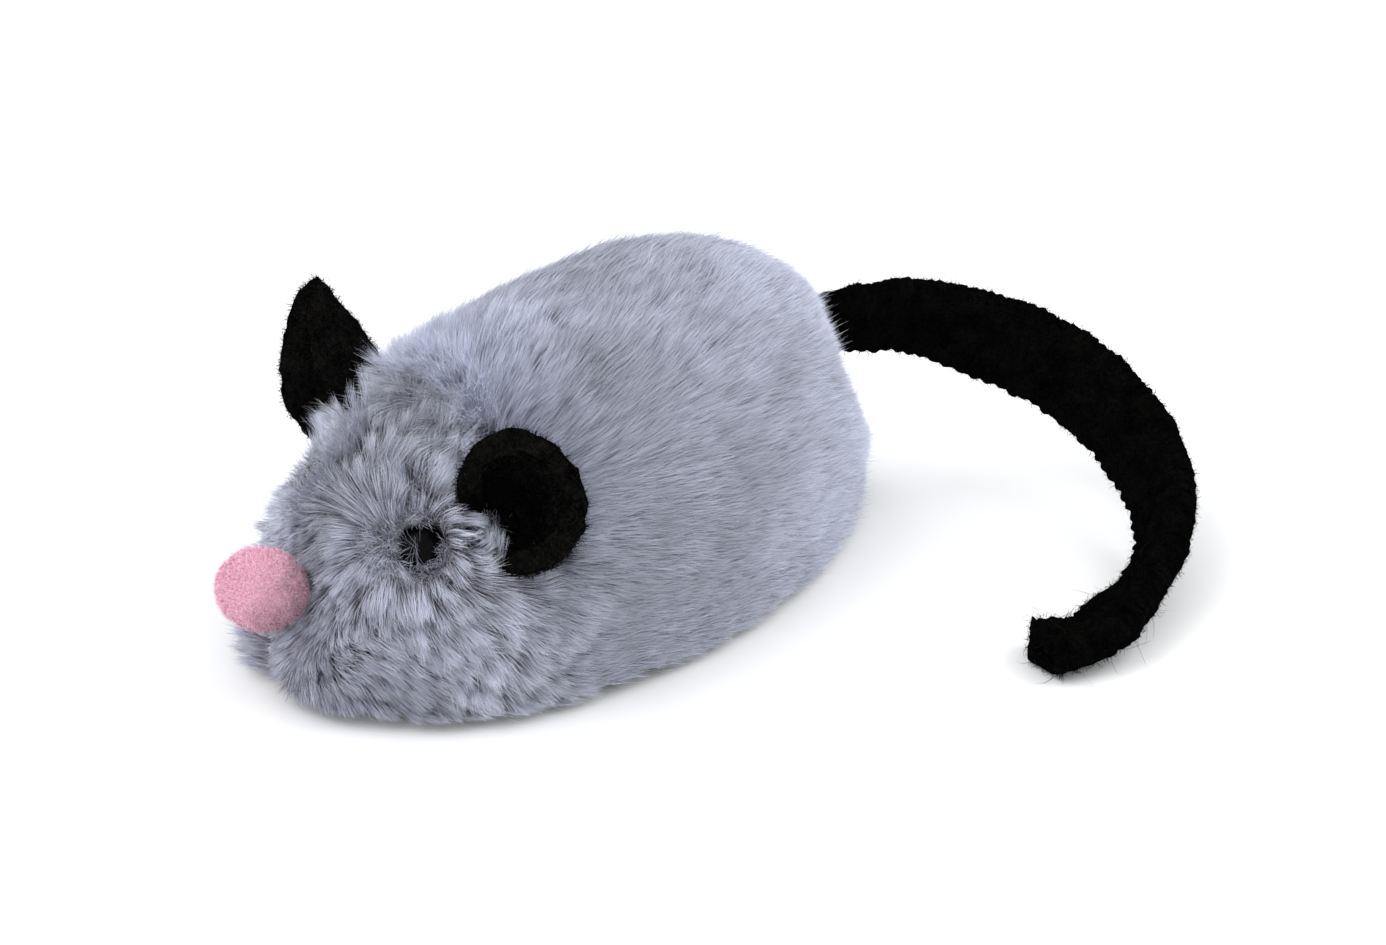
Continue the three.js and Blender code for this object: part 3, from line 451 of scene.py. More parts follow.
coverSkin = makeSkin(skin)
addModifier(coverSkin, "SOLIDIFY", thickness=skin["thickness"] * mm, offset=-1)
giveMaterial(coverSkin, skinMaterial(skin))
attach(coverSkin, "body")
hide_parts("plush_cover")
print("skin made")


# Short loose fibres on the felt and the nose, with roots a little under the surface

fibre = {
    "rootDepth": 0.05, "liftSpread": 15, "lowest": 0.1, "tilt": 0.3, "taper": (1, 1, 0.8), "darkest": 0.001,
}


def scatterOnPiece(piece, make, chance):
    # Random places over a finished surface, and the way out at each
    shown = piece.evaluated_get(bpy.context.evaluated_depsgraph_get())
    mesh = shown.to_mesh()
    mesh.calc_loop_triangles()
    corners = np.empty(len(mesh.loop_triangles) * 3, dtype=np.int32)
    mesh.loop_triangles.foreach_get("vertices", corners)
    corners = corners.reshape(-1, 3)
    points, facing = readVertices(mesh, "co") / mm - middle, readVertices(mesh, "normal")
    shown.to_mesh_clear()
    triangles = points[corners]
    area = lengths(np.cross(triangles[:, 1] - triangles[:, 0], triangles[:, 2] - triangles[:, 0]))
    if "around" in make:
        area = area * bell(lengths(triangles.mean(1) - np.array(make["around"])), make["within"])
    pick = chance.choice(len(area), size=make["count"], p=area / area.sum())
    shares = chance.dirichlet((1, 1, 1), make["count"])
    place, out = ((values[corners[pick]] * shares[..., None]).sum(1) for values in (points, facing))
    return place, unit(out)


def growFibres(name, source, make, seed):
    chance = np.random.default_rng(seed)
    count = make["count"]
    place, out = scatterOnPiece(source, make, chance)
    level = unit(levelWith(chance.standard_normal((count, 3)), out))
    turned = np.cross(out, level)
    length = make["length"] * (0.5 + chance.random(count) ** 2)
    start = np.radians(make["lift"]) + np.radians(fibre["liftSpread"]) * chance.standard_normal(count)
    curl = make["curl"] * chance.standard_normal(count)
    lines = np.empty((count, 4, 3))
    lines[:, 0] = place - out * fibre["rootDepth"]
    for step in (1, 2, 3):
        lift = (start - np.radians(make["droop"]) * (step - 1))[:, None]
        bend = (curl * step)[:, None]
        ahead = level * np.cos(bend) + turned * np.sin(bend)
        way = ahead * np.cos(lift) + out * np.sin(lift)
        lines[:, step] = lines[:, step - 1] + (length / 3)[:, None] * way
    lines[:, :, 2] = np.maximum(lines[:, :, 2], fibre["lowest"])
    course = unit(lines[:, 3] - lines[:, 0])
    sideways = unit(np.cross(course, out + fibre["tilt"] * chance.standard_normal((count, 3))))
    widths = make["width"] * (0.7 + 0.6 * chance.random(count))[:, None] * np.array(fibre["taper"])
    tone = 1 + make["variation"] * chance.standard_normal(count)
    # Painted shade: fibres that face the shade way are darker
    if "shadeWay" in make:
        tone = tone * (1 - make["shadeShare"] * blendStep(out @ unit(np.array(make["shadeWay"])), -0.5, 0.8))
    colours = shadesOf(make, ("root", "root", "middle", "tip")) * tone[:, None, None]
    fibres = strandMesh(name, lines, sideways, widths, np.maximum(colours, fibre["darkest"]))
    giveMaterial(fibres, make["material"])
    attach(fibres, "body")
    return fibres


def feltMaterial(name, dark, light, size, shine):
    graph = Graph(name, Specular_IOR_Level=shine)
    fine = graph.noise(0.25 * mm, detail=4, roughness=0.7)
    patches = graph.noise(2.5 * mm)
    colour = graph.blendOf(graph.spread(fine * 0.6 + patches * 0.4, 0.35, 0.65), dark, light)
    height = fine * 0.5 + (1 - graph.lumps(size)) * 0.7
    return graph.finish(colour, 0.85 + 0.12 * fine, height, 0.25 * mm)


blackFelt = feltMaterial("black felt", paint(0, 0, 0), paint(26, 25, 24), 0.8 * mm, 0)
# Painted shade: the tail's felt is a darker copy of the ears' black felt
shadedTailFelt = feltMaterial("black tail felt", paint(0, 0, 0), paint(15, 15, 14), 0.8 * mm, 0)
feltFuzz = {
    "count": 9000, "length": 1.05, "lift": 40, "droop": 14, "curl": 0.5, "width": 0.05, "variation": 0.9,
    "root": (0, 0, 0), "middle": (6, 5, 5), "tip": (50, 42, 36),
    "material": strandMaterial("black felt fibre", 0.95, 0, 0),
}


# Ears: a slit disc of felt drawn into a cup that opens forward, its root sewn into the cover

ear = {
    "halfSpread": 0.6, "flare": 0.37, "rise": 1.35, "baseRadius": 1.6, "thickness": 2.3, "rootDepth": 3,
    "lobeHeight": 5.7, "lobeRounding": 0.12, "upperDrop": 0.4, "lowerDrop": 1.3, "lowerCurl": 0.6,
    "edge": 0.85, "turns": 40, "rises": 18, "unevenness": ((0.135, 4.6), (0.3, 2.2), (0.15, 1.1)),
}
# The near ear is low and curls in at its ends, and the far one stands up to a point
ears = {
    "ear_left": {
        **ear, "side": 1, "seed": 31, "rimRadius": 6.6, "backHeight": 8.6,
        "upperWrap": 1.16, "lowerWrap": 1.13, "curlIn": 0.33, "upperSwell": 0.11,
    },
    "ear_right": {
        **ear, "side": -1, "seed": 32, "rimRadius": 7.4, "backHeight": 11.9,
        "upperWrap": 1, "lowerWrap": 1.05, "curlIn": 0, "upperSwell": 0,
    },
}


def earSpot(sweep, share, make):
    # A spot of the cup: the sweep runs from end to end of the rim, and the share from the root up to it
    upper = sweep * make["side"] > 0
    wrap = make["upperWrap" if upper else "lowerWrap"]
    turn = math.pi * make["halfSpread"] * sweep * wrap * (1 - make["lobeRounding"] * share ** 3)
    height = make["backHeight"] + (make["lobeHeight"] - make["backHeight"]) * sweep ** 2
    height -= make["upperDrop" if upper else "lowerDrop"] * sweep ** 8
    radius = make["baseRadius"] + (make["rimRadius"] - make["baseRadius"]) * share ** make["flare"]
    radius *= 1 - make["curlIn"] * (1 if upper else make["lowerCurl"]) * abs(sweep) ** 3
    if upper:
        radius *= 1 + make["upperSwell"] * 4 * sweep ** 2 * (1 - sweep ** 2)
    rise = -make["rootDepth"] + (height + make["rootDepth"]) * share ** make["rise"]
    return np.array([math.sin(turn) * radius, -math.cos(turn) * radius, rise])


def makeEar(name, make):
    place, basis = standOn(seats["ear"], make["side"])
    form = bmesh.new()
    bmesh.ops.create_grid(form, x_segments=make["turns"], y_segments=make["rises"], size=1)
    for vert in form.verts:
        vert.co = placeOf(place + basis @ earSpot(vert.co.x, (vert.co.y + 1) / 2, make))
    bmesh.ops.recalc_face_normals(form, faces=form.faces)
    felt = makeMesh(name + "_felt", form)
    addModifier(felt, "SOLIDIFY", thickness=make["thickness"] * mm, offset=0, use_even_offset=True)
    addModifier(felt, "BEVEL", width=make["edge"] * mm, segments=4, limit_method="ANGLE",
                angle_limit=math.radians(50))
    addModifier(felt, "SUBSURF", levels=1, render_levels=1)
    applyModifiers(felt)
    roughen(felt, make["unevenness"])
    return felt


earFelts = {}
for name, make in ears.items():
    felt = makeEar(name, make)
    earFelts[name] = felt
    giveMaterial(felt, blackFelt)
    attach(felt, "body")
    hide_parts(name)
    fuzz = growFibres(name + "_fuzz", felt, feltFuzz, make["seed"])
print("ears made")


# Tail: a felt strip folded lengthwise and stitched along its open edges

tail = {
    "width": 9.2, "thickness": 3.8, "feltThickness": 1.7, "rootDepth": 3.6,
    "root": (0, 37.2, 20.994), "reach": (46, 22.5, -18.694), "runs": 320, "rounds": 42,
    "foldShare": 0.24, "foldWave": 0.2, "foldPitch": 1.15, "closing": 0.62, "edgeThinning": 0.42,
    "stitchPitch": 1.7, "stitchDip": 0.24, "stitchThinning": 0.12, "edge": 0.3,
    "unevenness": ((0.26, 1.6), (0.09, 0.8)),
    # The tip is cut square and then across one corner: a place and a way out for each cut
    "cuts": [((43.3, 28.6), (-0.69, -0.72)), ((43.3, 28.6), (0.09, -0.996))], "tipEnd": 35,
}
tailRoute = [
    (0, 0, 0), (0.045, 0.4, 0.065), (0.142, 0.675, 0.19), (0.27, 0.91, 0.33), (0.435, 1, 0.48),
    (0.606, 0.965, 0.63), (0.763, 0.81, 0.76), (0.885, 0.525, 0.86), (0.956, 0.19, 0.93),
    (0.997, -0.07, 0.97), (0.965, -0.315, 0.99), (0.9, -0.47, 1),
]
# Quarter turns of the strip and its width share, at even steps from root to tip
tailSections = [(0, 0.7), (0, 0.97), (0.42, 1.07), (0.42, 1), (0.36, 0.97), (0.72, 0.93), (1.1, 0.88)]


def throughPoints(points, shares):
    # A smooth curve through points, read at shares of the way between the first and the last
    points = np.array(points, dtype=float)
    spot = np.clip(np.array(shares) * (len(points) - 1), 0, len(points) - 1 - 1e-9)
    home = spot.astype(int)
    share = (spot - home)[:, None]
    p0, p1 = points[np.maximum(home - 1, 0)], points[home]
    p2, p3 = points[home + 1], points[np.minimum(home + 2, len(points) - 1)]
    return 0.5 * (2 * p1 + (p2 - p0) * share + (2 * p0 - 5 * p1 + 4 * p2 - p3) * share ** 2
                  + (3 * p1 - p0 - 3 * p2 + p3) * share ** 3)


def tailLine(make, count):
    # Evenly spaced places along the route, the way that it runs, and its length
    root, reach = np.array(make["root"]), np.array(make["reach"])
    stops = [root - np.array([0, make["rootDepth"], 0])]
    stops += [root + np.array(stop) * reach for stop in tailRoute]
    fine = throughPoints(stops, np.linspace(0, 1, 2000))
    walked = np.concatenate([[0], np.cumsum(lengths(np.diff(fine, axis=0)))])
    even = np.linspace(0, walked[-1], count)
    line = np.stack([np.interp(even, walked, fine[:, axis]) for axis in range(3)], axis=-1)
    return line, unit(np.gradient(line, axis=0)), walked[-1]


def tailSpot(side, width, walked, make):
    # A spot of the cross section, up along the fold's way and across it, and the felt's thickness there.
    # The side runs down one leaf from the fold, which takes the middle share, to the stitched edge
    reach = make["thickness"] / 2 - make["feltThickness"] / 2
    foldTop = width / 2 - make["thickness"] / 2
    if abs(side) < make["foldShare"]:
        turn = side / make["foldShare"] * math.pi / 2
        up, across = foldTop + reach * math.cos(turn), reach * math.sin(turn)
        closing = 0
    else:
        closing = (abs(side) - make["foldShare"]) / (1 - make["foldShare"])
        up = foldTop - closing * (width - make["thickness"] / 2)
        across = math.copysign(reach * (1 - make["closing"] * closing ** 1.5), side)
    stitch = 0.5 + 0.5 * math.cos(2 * math.pi * walked / make["stitchPitch"])
    nearEdge = blendStep(closing, 0.8, 1.0)
    nearFold = 1 - blendStep(abs(side), 0.1, make["foldShare"])
    up -= make["stitchDip"] * nearEdge * stitch
    up += make["foldWave"] * nearFold * math.sin(2 * math.pi * walked / make["foldPitch"])
    thickness = 1 - make["edgeThinning"] * closing ** 2 - make["stitchThinning"] * nearEdge * (1 - stitch)
    return up, across, thickness


def makeTail(make):
    runs = make["runs"]
    line, run, length = tailLine(make, runs + 1)
    sections = throughPoints(tailSections, np.linspace(0, 1, runs + 1))
    angle, width = (sections[:, 0] * np.pi / 2)[:, None], sections[:, 1] * make["width"]
    level = unit(np.stack([run[:, 1], -run[:, 0], np.zeros(runs + 1)], axis=-1))
    fold = np.cross(level, run) * np.cos(angle) - level * np.sin(angle)
    face = np.cross(run, fold)
    form = bmesh.new()
    bmesh.ops.create_grid(form, x_segments=make["rounds"], y_segments=runs, size=1)
    thin = form.verts.layers.deform.verify()
    for vert in form.verts:
        step = round((vert.co.y + 1) / 2 * runs)
        up, across, thickness = tailSpot(vert.co.x, width[step], step * length / runs, make)
        vert[thin][0] = thickness
        vert.co = placeOf(line[step] + fold[step] * up + face[step] * across)
    for place, way in make["cuts"]:
        tip = [vert for vert in form.verts if vert.co.y / mm - middle[1] < make["tipEnd"]]
        # Each item once, in an order that is the same in each run
        items = dict.fromkeys(item for vert in tip for item in (vert, *vert.link_edges, *vert.link_faces))
        bmesh.ops.bisect_plane(form, geom=list(items), clear_outer=True, plane_co=placeOf([*place, 0]),
                               plane_no=(*way, 0))
    bmesh.ops.recalc_face_normals(form, faces=form.faces)
    strip = makeMesh("tail_strip", form)
    strip.vertex_groups.new(name="thickness")
    addModifier(strip, "SOLIDIFY", thickness=make["feltThickness"] * mm, offset=0, vertex_group="thickness")
    addModifier(strip, "BEVEL", width=make["edge"] * mm, segments=2, limit_method="ANGLE",
                angle_limit=math.radians(60))
    applyModifiers(strip)
    roughen(strip, make["unevenness"])
    return strip, length


tailStrip, tailLength = makeTail(tail)
giveMaterial(tailStrip, shadedTailFelt)
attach(tailStrip, "body")
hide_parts("tail")
# Painted shade: the tail's short fuzz is a darker copy of the ears' fuzz
shortFibre = {
    **feltFuzz, "count": 24000, "length": 0.85, "middle": (2, 2, 2), "tip": (20, 18, 17), "variation": 1,
}
looseFibre = {
    **feltFuzz, "length": 3.4, "lift": 30, "droop": 10, "curl": 1.15, "width": 0.04, "tip": (60, 54, 50),
}
tipFibre = {**looseFibre, "count": 210, "around": (45, 29, 3), "within": 6}
bendFibre = {**looseFibre, "count": 170, "around": (45, 41, 5), "within": 8}
tailFibres = [
    growFibres("tail_fuzz", tailStrip, shortFibre, 33), growFibres("tail_tip_curls", tailStrip, tipFibre, 35),
    growFibres("tail_bend_curls", tailStrip, bendFibre, 36),
]
tailLength * mm
print("tail made, mm:", round(tailLength, 1))


# Nose: a pink pompom of short dense flock

nose = {
    "width": 10.2, "height": 8.8, "depth": 9.8, "ahead": 39.8, "rise": 12.908, "flockShare": 0.6,
    "unevenness": ((0.25, 2.4),),
}
noseMaterial = feltMaterial("pink pompom", paint(214, 150, 174), paint(240, 188, 206), 0.4 * mm, 0.15)
# Painted shade darkens the flock toward the back and the underside
noseFuzz = {
    "count": 32000, "length": 0.55, "lift": 46, "droop": 14, "curl": 0.4, "width": 0.05, "variation": 0.06,
    "root": (230, 170, 194), "middle": (250, 204, 221), "tip": (255, 225, 236),
    "shadeWay": (0.45, 0.75, -0.5), "shadeShare": 0.56, "material": strandMaterial("pink flock", 0.8, 0.2, 0.2),
}


def makeNose(make):
    form = bmesh.new()
    bmesh.ops.create_icosphere(form, subdivisions=5, radius=1)
    centre = np.array([0, -make["ahead"], make["rise"]])
    sizes = np.array([make["width"], make["depth"], make["height"]])
    radii = sizes / 2 - noseFuzz["length"] * make["flockShare"]
    for vert in form.verts:
        vert.co = placeOf(centre + np.array(vert.co) * radii)
    return makeMesh("nose_ball", form)


noseBall = makeNose(nose)
roughen(noseBall, nose["unevenness"])
giveMaterial(noseBall, noseMaterial)
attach(noseBall, "body")
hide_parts("nose_pompom")
growFibres("nose_flock", noseBall, noseFuzz, 34).parent = noseBall
print("nose made")


# Eyes: black domes on shanks, sunk in the pile

eye = {
    "radius": 2.6, "domeHeight": 2.3, "flange": 0.5, "seatDepth": 2.9, "shankRadius": 0.8, "shankLength": 5.2,
    "rows": 16, "turns": 56,
}


def makeEye(name, side, make):
    place, basis = standOn(seats["eye"], side)
    low = -make["flange"] - make["shankLength"]
    turns = [math.pi / 2 * (1 - row / make["rows"]) for row in range(make["rows"] + 1)]
    profile = [(make["radius"] * math.cos(turn), make["domeHeight"] * math.sin(turn)) for turn in turns]
    profile += [(make["radius"], -make["flange"]), (make["shankRadius"], -make["flange"]),
                (make["shankRadius"], low), (0, low)]
    form = bmesh.new()
    verts = [form.verts.new((across, 0, rise)) for across, rise in profile]
    for first, second in zip(verts, verts[1:]):
        form.edges.new((first, second))
    bmesh.ops.spin(form, geom=form.verts[:] + form.edges[:], cent=(0, 0, 0), axis=(0, 0, 1),
                   angle=2 * math.pi, steps=make["turns"], use_merge=True)
    bmesh.ops.remove_doubles(form, verts=form.verts, dist=1e-4)
    for vert in form.verts:
        vert.co = placeOf(place + basis @ (np.array(vert.co) - np.array([0, 0, make["seatDepth"]])))
    bmesh.ops.recalc_face_normals(form, faces=form.faces)
    return makeMesh(name, form)


def eyeMaterial():
    graph = Graph("glossy black eye", Specular_IOR_Level=0.07)
    haze = graph.noise(1.2 * mm)
    colour = graph.blendOf(haze, paint(1, 1, 2), paint(5, 5, 7))
    return graph.finish(colour, 0.16 + 0.14 * haze, haze, 0.02 * mm, 0.3)


eyeDomes = {}
glossyEye = eyeMaterial()
for name, side in (("eye_left", 1), ("eye_right", -1)):
    eyeDomes[name] = makeEye(name + "_dome", side, eye)
    giveMaterial(eyeDomes[name], glossyEye)
    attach(eyeDomes[name], "body")
    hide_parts(name)
print("eyes made")


# The pile: strands rooted in the skin, longer and tufted on the head, combed back on the body.
# The bands name the pieces of fur and say where along the back each ends

pile = {
    "seed": 7, "strands": 285000, "quickStrands": 200000,
    "headLength": 6.7, "bodyLength": 6.6, "rumpLength": 6.2,
    "unequal": 0.3, "unequalHead": 0.26, "unequalCalm": -0.16,
    "width": 0.064, "quickWidth": 0.078, "taper": (0.8, 1, 0.7),
    "clump": 0.9, "headClump": 1.25, "tuft": 2.4, "pull": (0, 0.1, 0.36, 0.64), "roll": 35,
    "strays": 0.025, "strayLift": 28, "strayLength": 0.12, "rows": 240, "columns": 160,
    # The roots are darker than the tips, partly as the fur's own colour and partly as painted shade down
    # between the tufts
    "rootColour": (106, 96, 104), "midColour": (171, 172, 187), "tipColour": (228, 231, 244),
    "bodyRoot": (116, 114, 129), "bodyMid": (176, 179, 194), "bodyTip": (206, 210, 224),
}
# Degrees that the nap swings, by slow noise, by clump, by tuft and by strand
swings = {
    "slow": 14, "slowHead": 16, "clump": 24, "clumpHead": 32, "tuft": 26, "tuftHead": 28, "calmed": 12,
    "streaks": 26, "strand": 8,
}
# Degrees between a strand and the skin, at its root and at its tip
lifts = {
    "root": 69, "rootRump": -2, "rootHead": 5, "rootEye": 8, "rootParting": 8,
    "tip": 15, "tipHead": 17, "tipRidge": 34, "tipParting": 22, "tipRump": 5, "tipEar": 20, "tipEye": 10,
    "tipWhorl": 40, "tipChin": 6, "tipClump": 12, "tipClumpHead": 12, "tipClumpCalm": -7, "tipTuftHead": 18,
    "tipSpread": 5,
}
# Shares by which strands are shorter in places, and lighter or darker
shorter = {"snout": 0.12, "overNose": 0.42, "hem": 0.3, "brow": 0.42, "eye": 0.2, "tail": 0.72, "loins": 0.13}
tones = {
    "clump": 0.28, "clumpHead": 0.1, "clumpCalm": -0.14, "strand": 0.08, "lessRootShade": 0.62, "parted": 0.8,
    # flank and overTail are painted shade, and ridge and rump are painted light
    "ridge": 0.2, "flank": -0.12, "overTail": -0.45, "rump": 0.4,
    "head": -0.17, "cheek": 0.34, "belowCheek": -0.08, "forehead": -0.12,
}
# How far a whorl reaches and the cheeks keep from it, and how the nap ahead of an ear runs into its slit
comb = {"whorlReach": 7, "cheekGap": 8, "slitSetback": 2.6, "slitPull": 0.75}
seam = {"middle": 0.292, "side": 0.256}
bands = {
    "fur_snout": 0.06, "fur_muzzle": 0.12, "fur_face": 0.18, "fur_cheeks": 0.24, "fur_crown": 0.32,
    "fur_neck": 0.41, "fur_shoulders": 0.5, "fur_back": 0.59, "fur_loins": 0.68, "fur_hips": 0.78,
    "fur_haunches": 0.89, "fur_rump": 1.01,
}
# Places near which the pile is bare, short or darkened by painted shade
bare = {
    "nose": {"centre": (0, -39.8, 12.9), "radii": (5.1, 4.9, 4.4)},
    "tail": {"centre": (0, 37.2, 21), "radii": (2.3, 9, 4)},
    "eyeRadius": 2.1, "overEye": 1.9, "eyeReach": 9, "overEyeShare": 0.05,
    "earReach": 6.5, "earRoot": 1, "earBack": -0.9, "earFront": 0.35, "earNarrow": 2.6, "earWiden": 4,
    "tailRoot": (0, 35, 19.5), "aboveTail": (0, 31, 31),
}


def scatterOnBack(count, chance, make, inset):
    # Random places on the back, spread evenly over its area
    gap = 0.02
    ends = (1 - np.cos(np.linspace(gap, np.pi - gap, make["rows"] + 1))) / 2
    turns = np.linspace(0, np.pi, make["columns"] + 1)
    a0, b0 = np.meshgrid(ends[:-1], turns[:-1], indexing="ij")
    a1, b1 = np.meshgrid(ends[1:], turns[1:], indexing="ij")
    first = backPoint(a1, b0, inset) - backPoint(a0, b0, inset)
    second = backPoint(a0, b1, inset) - backPoint(a0, b0, inset)
    area = lengths(np.cross(first, second)).ravel()
    cell = chance.choice(len(area), size=count, p=area / area.sum())
    row, column = np.divmod(cell, make["columns"])
    return (ends[row] + chance.random(count) * (ends[row + 1] - ends[row]),
            turns[column] + chance.random(count) * (turns[column + 1] - turns[column]))


def fromSeat(root, seat):
    # The way to each root from the seat on its own side
    left, right = (seatPoint(seat, side, skin["inset"]) for side in (1, -1))
    return root.place - np.where(root.onLeft[:, None], left, right)


def plantRoots(make, chance):
    # Roots on the skin, but none under the eyes, the nose and the tail, and in the mouth of an ear only
    # those ahead of its slit. The low share grows toward the hem, and the high one toward the ridge
    count = make["strands"]
    root = SimpleNamespace()
    root.share, root.turn = scatterOnBack(count, chance, make, skin["inset"])
    root.place, root.backward, root.across, root.out = backFrame(root.share, root.turn, skin["inset"])
    root.onLeft = np.cos(root.turn) > 0
    root.low, root.high = np.abs(np.cos(root.turn)), np.sin(root.turn)
    root.eyeGap = lengths(fromSeat(root, seats["eye"]))
    root.earWay = fromSeat(root, seats["ear"])
    root.earGap = lengths(root.earWay)
    root.mouth = -dotOf(root.earWay, root.backward) / np.maximum(root.earGap, 0.01)
    noseGap, tailGap = (lengths((root.place - np.array(spot["centre"])) / np.array(spot["radii"]))
                        for spot in (bare["nose"], bare["tail"]))
    inEar = (root.earGap < bare["earReach"]) & (root.mouth > bare["earBack"])
    inEar &= root.mouth < bare["earFront"]
    inEar &= root.earGap < bare["earNarrow"] + bare["earWiden"] * (root.mouth - bare["earBack"])
    inEar |= root.earGap < bare["earRoot"]
    kept = (root.eyeGap > bare["eyeRadius"]) & (noseGap > 1) & (tailGap > 1) & ~inEar
    root = SimpleNamespace(**{key: values[kept] for key, values in vars(root).items()})
    root.count = len(root.share)
    return root


def combNap(root):
    # The way that the nap lies: round a whorl at each eye, forward on the forehead and back over the body
    radial = np.zeros_like(root.place)
    root.whorlGap = np.full(root.count, np.inf)
    for side in (1, -1):
        away = root.place - seatPoint(seats["whorl"], side, skin["inset"])
        distance = lengths(away)
        radial += away / distance[:, None] * np.exp(-distance / comb["whorlReach"])[:, None]
        root.whorlGap = np.minimum(root.whorlGap, distance)
    down = root.across * np.where(root.onLeft, -1, 1)[:, None]
    # Below the eyes the nap turns backward and down
    cheek = (blendStep(root.low, 0.55, 0.85) * (1 - bell(root.whorlGap, comb["cheekGap"])))[:, None]
    radial = unit(unit(radial) * (1 - cheek) + unit(0.75 * root.backward + 0.65 * down) * cheek)
    seamShare = seam["side"] + (seam["middle"] - seam["side"]) * root.high ** 2
    root.behindSeam = root.share - seamShare + 0.012 * smoothNoise(root.place, 4, 16)
    offRidge = blendStep(root.low, 0.02, 0.3)[:, None]
    forward = unit(-root.backward + 0.25 * offRidge * down)
    root.onTop = blendStep(root.high, 0.5, 0.8)
    nearSeam = (blendStep(root.behindSeam, -0.07, -0.015) * root.onTop)[:, None]
    head = unit(radial * (1 - nearSeam) + forward * nearSeam)
    ahead = blendStep(-root.share, -0.7, -0.3)
    hang = 0.6 * blendStep(root.low, 0.6, 0.92) * (1 - blendStep(root.low, 0.92, 1)) * ahead
    hang = hang - 0.34 * (1 - blendStep(root.low, 0.5, 0.9)) * blendStep(root.share, 0.3, 0.5)
    body = unit(root.backward + hang[:, None] * offRidge * down)
    root.onHead = 1 - blendStep(root.behindSeam / (0.01 + 0.09 * (1 - root.onTop)), -1, 1)
    lie = head * root.onHead[:, None] + body * (1 - root.onHead[:, None])
    root.lie = unit(levelWith(lie, root.out))
    # Ahead of each ear the nap runs together into the slit
    root.toSlit = blendStep(-root.earGap, -8, -5) * blendStep(root.mouth, 0.2, 0.5)
    slitWay = -root.earWay - comb["slitSetback"] * root.backward
    root.slitGap = lengths(slitWay)
    turned = (comb["slitPull"] * root.toSlit)[:, None]
    lie = unit(root.lie * (1 - turned) + slitWay / np.maximum(root.slitGap, 0.5)[:, None] * turned)
    root.lie = unit(levelWith(lie, root.out))


def gatherClumps(root, make):
    # Clumps, which are wider on the head, and tufts of many clumps
    body, head = clumpCentres(root.place, make["clump"]), clumpCentres(root.place, make["headClump"])
    ahead = (root.onHead > 0.5)[:, None]
    root.clump, root.clumpCube = (np.where(ahead, onHead, onBody) for onHead, onBody in zip(head, body))
    root.tuft, root.tuftCube = clumpCentres(root.place, make["tuft"])


def findZones(root):
    # How much each root belongs to some parts of the coat. The nap is calm on the flanks and the rump, and
    # streaked and tufted on top behind the ears
    top = blendStep(root.high, 0.7, 0.95) * (1 - blendStep(root.share, 0.45, 0.75))
    root.calm = (1 - root.onHead) * (1 - 0.75 * top)
    root.streaked = (1 - root.onHead) * (1 - root.calm)
    root.overNose = blendStep(root.high, 0.3, 0.7)
    root.muzzle = blendStep(-root.share, -0.18, -0.07) * (1 - 0.3 * root.overNose)
    root.snout = blendStep(-root.share, -0.17, -0.03)
    root.behind = blendStep(root.share, 0.45, 0.95)
    root.atEye = blendStep(-root.eyeGap, -4.6, -2.4)


def chanceOf(cube, salt):
    return cellChance(cube, salt) - 0.5


def swingNap(root, chance):
    # Turn the nap by slow noise, by clump, by tuft and by strand
    calmed, onHead = swings["calmed"] * root.calm, root.onHead
    perClump = np.radians(swings["clump"] + swings["clumpHead"] * onHead - calmed) * (1 - 0.6 * root.muzzle)
    perTuft = np.radians(swings["tuft"] + swings["tuftHead"] * onHead - calmed) * (1 - 0.75 * root.muzzle)
    slowly = np.radians(swings["slow"] + swings["slowHead"] * onHead)
    swing = np.radians(swings["streaks"]) * root.streaked * smoothNoise(root.place, 3.4, 14)
    swing = swing + (1 - 0.7 * root.toSlit) * (
        slowly * smoothNoise(root.place, 6, 11)
        + perClump * chanceOf(root.clumpCube, 5) + perTuft * chanceOf(root.tuftCube, 6)
        + np.radians(swings["strand"]) * chance.standard_normal(root.count))
    swing = swing[:, None]
    root.lie = root.lie * np.cos(swing) + np.cross(root.out, root.lie) * np.sin(swing)


def strandLengths(root, make, chance):
    onBody = make["bodyLength"] * (1 - root.behind) + make["rumpLength"] * root.behind
    length = make["headLength"] * root.onHead + (1 - root.onHead) * onBody
    unequal = make["unequal"] + make["unequalHead"] * root.onHead + make["unequalCalm"] * root.calm
    length = length * (1 + unequal * chanceOf(root.clumpCube, 7)) * (0.9 + 0.2 * chance.random(root.count))
    # Shorter on the snout, near the hem, on the far brow, round the eyes and the tail, and along the top
    nearHem = blendStep(root.low, 0.9, 1)
    onBrow = blendStep(-root.share, -0.29, -0.14) * blendStep(root.turn / np.pi, 0.46, 0.58) * root.overNose
    atTail = bell(lengths(root.place - np.array(bare["tailRoot"])), 9.5, 4)
    onLoins = blendStep(root.turn / np.pi, 0.36, 0.46) * blendStep(-root.share, -0.62, -0.5)
    onLoins = onLoins * (1 - root.onHead)
    length = length * (1 - (shorter["snout"] + shorter["overNose"] * root.overNose) * root.snout)
    zones = {"hem": nearHem, "brow": onBrow, "eye": root.atEye, "tail": atTail, "loins": onLoins}
    for key, zone in zones.items():
        length = length * (1 - shorter[key] * zone)
    # Fur ahead of an ear ends at its slit
    beyond, shortest = np.where(root.onLeft, 0.4, 2.6), np.where(root.onLeft, 2.8, 5.5)
    reach = np.maximum((root.slitGap + beyond) / 0.72, shortest)
    return np.where(root.toSlit > 0.3, np.minimum(length, reach), length)


